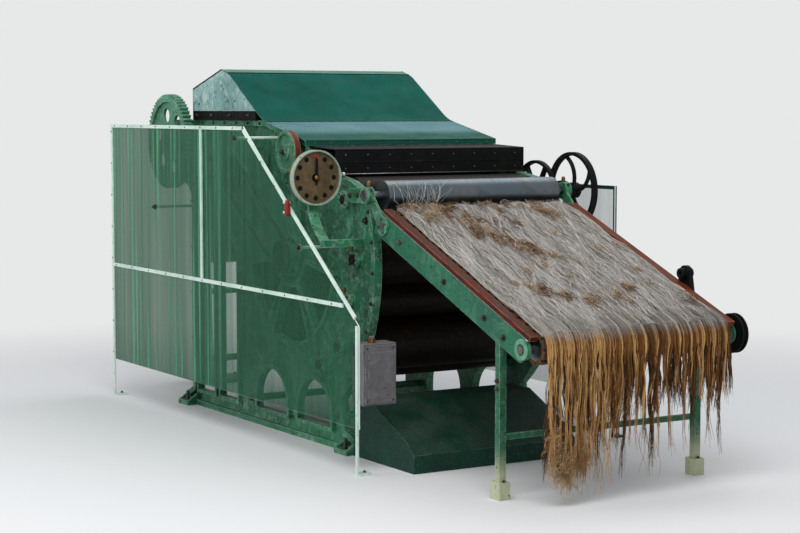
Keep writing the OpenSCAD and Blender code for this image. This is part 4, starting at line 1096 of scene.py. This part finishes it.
def jute_bed():
    """The matted layer under the loose strands."""
    nx, ns = 62, 90
    sheet = nx * ns
    x, s = np.meshgrid(np.linspace(-LAYER_HALF + 0.01, LAYER_HALF - 0.01, nx),
                       np.linspace(-0.01, TABLE_LEN + 0.03, ns))
    top = layer_points(x, s, -0.006).reshape(-1, 3)
    low = slope_points(x, s, np.full_like(x, SLAT_TOP + 0.001)).reshape(-1, 3)
    faces = []
    for a in (j * nx + i for j in range(ns - 1) for i in range(nx - 1)):
        faces.append((a, a + 1, a + nx + 1, a + nx))
        faces.append((a + sheet + nx, a + sheet + nx + 1, a + sheet + 1, a + sheet))
    border = [*range(nx), *range(2 * nx - 1, sheet, nx), *range(sheet - 2, sheet - nx - 1, -1),
              *range((ns - 2) * nx, 0, -nx)]
    for a, b in zip(border, border[1:] + border[:1]):
        faces.append((b, a, a + sheet, b + sheet))
    bed = Batch("jute_bed", "jute_mat", smooth=True)
    bed.add(np.concatenate([top, low]), faces)
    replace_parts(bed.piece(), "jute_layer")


def layer_strands(name, count, seed):
    """Strands that lie down the slope, wander a little and cross."""
    rng = np.random.default_rng(seed)
    t = steps(7)
    length = flat(rng, 0.14, 0.54, count)
    start = flat(rng, -0.02, TABLE_LEN + 0.06, count)
    s = np.clip(start - length * t, -0.03, TABLE_LEN + 0.05)
    lean = bell(rng, 0.13, count)
    x0 = flat(rng, -LAYER_HALF, LAYER_HALF, count)
    wave = flat(rng, 0.003, 0.018, count) * np.sin(
        TURN * (flat(rng, 0.6, 2.4, count) * t + flat(rng, 0, 1, count)))
    x = np.clip(x0 + lean * length * t + wave, -LAYER_HALF, LAYER_HALF)
    lift = np.abs(bell(rng, 0.0045, count)) + 0.006 * np.sin(math.pi * t) * flat(rng, 0, 1, count)
    shade = 0.12 * lumps(1.7 * x0[:, 0] + 0.3, 0.8 * start[:, 0])
    tints = np.clip(0.70 + shade + rng.normal(0, 0.22, count), 0.02, 1)
    dark = rng.uniform(0, 1, count) < 0.15
    tints = np.where(dark, rng.uniform(0.02, 0.25, count), tints)
    strand_mesh(name, layer_points(x, s, lift - 0.004), rng.uniform(0.0008, 0.0022, count), tints, "jute_top")


def tuft_spots(seed):
    """Places of the tufts as (x, s, radius): in bands across the slope and scattered between them."""
    rng = np.random.default_rng(seed)
    spots = []
    bands = [(44, (-0.44, 1.42), (0.02, 0.74), 0.055), (20, (-0.46, 0.50), (0.00, 0.20), 0.035),
             (12, (0.24, 1.40), (0.38, 1.30), 0.030), (34, (-0.30, 1.30), (0.40, 0.30), 0.220)]
    for count, start, end, spread in bands:
        for t in rng.uniform(0, 1, count):
            x = start[0] + (end[0] - start[0]) * t + rng.normal(0, spread)
            s = start[1] + (end[1] - start[1]) * t + rng.normal(0, 1.4 * spread)
            spots.append((x, s, rng.uniform(0.008, 0.026)))
    return np.clip(np.array(spots), (-0.53, 0.03, 0.008), (0.53, TABLE_LEN, 0.05))


def curled_tufts(count, seed):
    """Curly brown tufts on the layer, each a small nest of dark and pale curls."""
    rng = np.random.default_rng(seed)
    t = steps(12)
    spots = tuft_spots(seed + 1)
    pick = rng.choice(len(spots), count, p=spots[:, 2] / spots[:, 2].sum())
    tone = rng.uniform(0.25, 0.75, len(spots))[pick]
    x0, s0, size = spots[pick].T[:, :, None]
    x0 = x0 + bell(rng, 0.8, count) * size
    s0 = s0 + bell(rng, 1.2, count) * size
    radius = flat(rng, 0.004, 0.022, count)
    turn = flat(rng, 0, TURN, count) + flat(rng, 2, 8, count) * t
    x = np.clip(x0 + radius * np.cos(turn), -LAYER_HALF, LAYER_HALF)
    s = np.clip(s0 + 1.7 * radius * np.sin(turn) * (0.4 + t), 0.0, TABLE_LEN + 0.04)
    lift = 0.002 + flat(rng, 0.003, 0.022, count) * np.sin(math.pi * t)
    radii = rng.uniform(0.0008, 0.0019, count)
    tints = np.clip(tone + rng.normal(0, 0.33, count), 0.02, 1)
    strand_mesh("jute_tufts", layer_points(x, s, lift), radii, tints, "jute_tuft")


def fringe_locks(seed):
    """Dark locks behind and paler ones in front, long at the near side and short at the far side; the dark
    locks behind are partly painted shade in the gaps between the pale ones.
    """
    rng = np.random.default_rng(seed)
    locks = []
    for i in range(LOCKS):
        x = -LAYER_HALF + (i + rng.uniform(0, 1)) * 2 * LAYER_HALF / LOCKS
        near = np.clip((-0.08 - x) / 0.22, 0, 1)
        length = rng.uniform(0.27, 0.40) + near * rng.uniform(0.20, 0.34)
        # Odd locks are dark and lie behind the even ones: partly painted shade in the gaps between locks.
        if i % 2:
            tone, spread, count = rng.uniform(0.03, 0.20) + 0.05 * near, rng.uniform(0.010, 0.016), 34
        else:
            tone, spread, count = rng.uniform(0.30, 0.60) + 0.22 * near, rng.uniform(0.004, 0.008), 28
        if i % (4 if near > 0.5 else 8) == 0 or i < 3:
            tone, spread, count = rng.uniform(0.82, 0.96), 0.005, 22
        if -0.15 < x < 0.16 and i % 3 == 1:
            length = rng.uniform(0.44, 0.70)
            tone += 0.10
        if x > 0.20 and i % 9 == 0:
            length = rng.uniform(0.46, 0.66)
        locks.append((x, spread, count, length, rng.normal(0, 0.030), tone))
    return locks


def hanging_strands(name, locks, seed):
    """Twisted, wavy locks of fibre that come over the lower roller and hang."""
    rng = np.random.default_rng(seed)
    t = steps(14)
    bend = math.pi / 2 - SLOPE
    all_paths, all_radii, all_tints = [], [], []
    for x_mid, spread, count, length, sway, tone in locks:
        x0 = bell(rng, spread, count)
        run = flat(rng, 0.02, 0.12, count)
        drop = length * flat(rng, 0.45, 1.0, count)
        # Dark strands lie deeper, behind the pale ones, partly as painted shade.
        skin = SLAT_TOP + (0.008 if tone < 0.3 else 0.024) + flat(rng, -0.005, 0.016, count)
        arc = skin * bend
        d = (run + arc + drop) * (0.55 * t + 0.45 * t * t)
        on_top = np.clip(run - d, 0, None)
        angle = SLOPE + np.clip((d - run) / skin, 0, bend)
        below = np.clip(d - run - arc, 0, None)
        y = LOW_Y + on_top * math.cos(SLOPE) - skin * np.sin(angle)
        z = LOW_Z + on_top * math.sin(SLOPE) + skin * np.cos(angle) - below
        fall = below / (length + 1e-6)
        loose = np.clip(below / 0.12, 0, 1)
        lock_wave = 0.011 * np.sin(TURN * (below / rng.uniform(0.16, 0.34) + rng.uniform()))
        own_phase = below / flat(rng, 0.06, 0.18, count) + flat(rng, 0, 1, count)
        own_wave = flat(rng, 0.001, 0.008, count) * np.sin(TURN * own_phase)
        twist = rng.uniform(6, 16) * rng.choice([-1, 1]) * below + rng.uniform(0, TURN)
        gather = 1 - 0.55 * np.clip(fall, 0, 1) ** 0.8
        x = x_mid + x0 * np.cos(twist * loose) * gather + sway * fall + (lock_wave + own_wave) * loose
        y = y + (np.abs(x0) * np.sin(twist) * gather + 0.7 * lock_wave + own_wave) * loose
        tips = np.clip(fall - 0.72, 0, None) * bell(rng, 0.10, count)
        all_paths.append(fringe_points(x + tips, y + 0.5 * tips, z, 0.006))
        all_radii.append(rng.uniform(0.0008, 0.0021, count))
        all_tints.append(np.clip(tone + rng.normal(0, 0.15, count), 0.02, 1))
    return strand_mesh(name, *map(np.concatenate, (all_paths, all_radii, all_tints)), "jute_hang")


def fringe_points(x, y, z, floor):
    """Points of hanging fibre, kept inside the model's box and off the floor."""
    return np.stack([np.clip(x, -FRINGE_HALF, FRINGE_HALF), np.clip(y, FRINGE_FRONT, None),
                     np.clip(z, floor, None)], axis=-1)


def knotted_fibre(count, seed):
    """The curly mass where the near locks end."""
    rng = np.random.default_rng(seed)
    t = steps(12)
    centre = np.array([(-0.50, 0.24, 0.060), (-0.44, 0.19, 0.050), (-0.36, 0.25, 0.045),
                       (-0.53, 0.33, 0.040)])
    x0, z0, size = centre[rng.integers(0, len(centre), count)].T[:, :, None]
    radius = flat(rng, 0.006, 0.026, count)
    turn = flat(rng, 0, TURN, count) + flat(rng, 3, 8, count) * t
    x = x0 + bell(rng, 0.45, count) * size + radius * np.cos(turn)
    z = z0 + bell(rng, 0.8, count) * size + 1.5 * radius * np.sin(turn) - 0.03 * t
    y = LOW_Y - SLAT_TOP - 0.022 + bell(rng, 0.010, count) + 0.010 * np.cos(2 * turn)
    radii = rng.uniform(0.0009, 0.0019, count)
    tints = np.clip(0.55 + rng.normal(0, 0.28, count), 0, 1)
    strand_mesh("jute_knots", fringe_points(x, y, z, 0.008), radii, tints, "jute_knot")


def stray_wisps(count, seed):
    """Single long strands that hang lowest."""
    rng = np.random.default_rng(seed)
    t = steps(16)
    x0 = rng.choice([-0.44, -0.34, -0.27, -0.20, 0.02, 0.10], count)[:, None] + bell(rng, 0.012, count)
    x = x0 + flat(rng, 0.01, 0.03, count) * np.sin(
        TURN * (flat(rng, 0.7, 1.4, count) * t + flat(rng, 0, 1, count))) * t
    top = 0.50
    z = top - (top - flat(rng, 0.02, 0.12, count)) * t
    y = LOW_Y - SLAT_TOP - 0.02 + 0.02 * np.sin(TURN * (t + flat(rng, 0, 1, count)))
    radii = rng.uniform(0.0010, 0.0020, count)
    strand_mesh("jute_stray_wisps", fringe_points(x, y, z, 0.0), radii, rng.uniform(0.5, 1, count),
                "jute_hang")


def over_roller(count, seed):
    """Strands that lie up over the pressing roller's feed side."""
    rng = np.random.default_rng(seed)
    t = steps(12)
    x0 = rng.choice([-0.46, -0.40, -0.34, -0.27], count)[:, None] + bell(rng, 0.010, count)
    x = np.clip(x0 + bell(rng, 0.07, count) * t, -0.55, 0.55)
    skin = PRESS_R + flat(rng, 0.003, 0.008, count)
    low = math.radians(235)
    high = np.radians(flat(rng, 120, 190, count))
    angle = low + (high - low) * t
    press_y, press_z = PRESS.at
    paths = np.stack([x, press_y + skin * np.cos(angle), press_z + skin * np.sin(angle)], axis=-1)
    radii = rng.uniform(0.0009, 0.0018, count)
    strand_mesh("jute_wisps", paths, radii, rng.uniform(0.5, 1, count), "jute_top")


jute_bed()
layer_strands("jute_strands_1", 4000, 11)
layer_strands("jute_strands_2", 4000, 12)
curled_tufts(2000, 21)
all_locks = fringe_locks(31)
near_fringe = hanging_strands("jute_fringe_1", all_locks[:LOCKS // 2], 41)
hanging_strands("jute_fringe_2", all_locks[LOCKS // 2:], 42)
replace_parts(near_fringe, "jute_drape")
knotted_fibre(900, 61)
stray_wisps(26, 71)
over_roller(44, 51)


# Stage, light and camera

BACKGROUND = (0.80, 0.81, 0.81)


def stage_floor():
    """A pale floor that takes the object's shadow and runs out into the background's colour."""
    s = Shade("floor", Base_Color=(0.78, 0.785, 0.785), Roughness=0.9, Specular_IOR_Level=0.1)
    far = s.make("VectorMath", (s.coord,), "Value", operation="LENGTH")
    glow = s.make("Emission", (BACKGROUND, 1.0))
    s.feed(s.out, s.make("MixShader", (s.level(far, 2.8, 6.5), s.bsdf.outputs[0], glow)))
    MATS["floor"] = s.mat
    size = 60
    corners = [(-size, -size, 0), (size, -size, 0), (size, size, 0), (-size, size, 0)]
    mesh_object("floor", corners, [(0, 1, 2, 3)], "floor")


def aim(made, where, target):
    made.location = where
    made.rotation_euler = (Vector(target) - Vector(where)).to_track_quat("-Z", "Y").to_euler()


def area_light(name, where, target, size, power):
    light = bpy.data.lights.new(name, "AREA")
    light.shape = "RECTANGLE"
    light.size, light.size_y = size
    light.energy = power
    aim(link(name, light), where, target)


def world_light():
    """Soft light on the object; the camera and reflections see the pale background instead."""
    world = bpy.data.worlds.new("studio")
    bpy.context.scene.world = world
    w = Nodes(world, "ShaderNodeOutputWorld")
    rays = w.tree.nodes.new("ShaderNodeLightPath").outputs
    seen = w.math("MAXIMUM", rays["Is Camera Ray"], rays["Is Glossy Ray"])
    seen = w.math("MAXIMUM", seen, rays["Is Transmission Ray"])
    lit = w.make("Background", ((0.82, 0.85, 0.90), 0.5))
    shown = w.make("Background", (BACKGROUND, 1.0))
    w.feed(w.out, w.make("MixShader", (seen, lit, shown)))


def photo_camera():
    """The photograph's viewpoint, with a longer lens so that the object fills the picture."""
    data = bpy.data.cameras.new("camera")
    data.lens, data.sensor_width = 84, 36
    made = link("camera", data)
    aim(made, (-5.85, -9.75, 1.95), (0.0, -0.1, 1.0))
    bpy.context.scene.camera = made


stage_floor()
area_light("key", (-3.5, -5.0, 6.5), (0, -0.5, 1.0), (5, 4), 330)
area_light("sky", (2.5, 1.0, 6.5), (0, 0.3, 1.2), (4, 6), 140)
area_light("fill", (-7.5, 1.0, 3.0), (0, 0, 1.0), (5, 3), 170)
world_light()
photo_camera()
bpy.context.scene.view_settings.view_transform = "Standard"
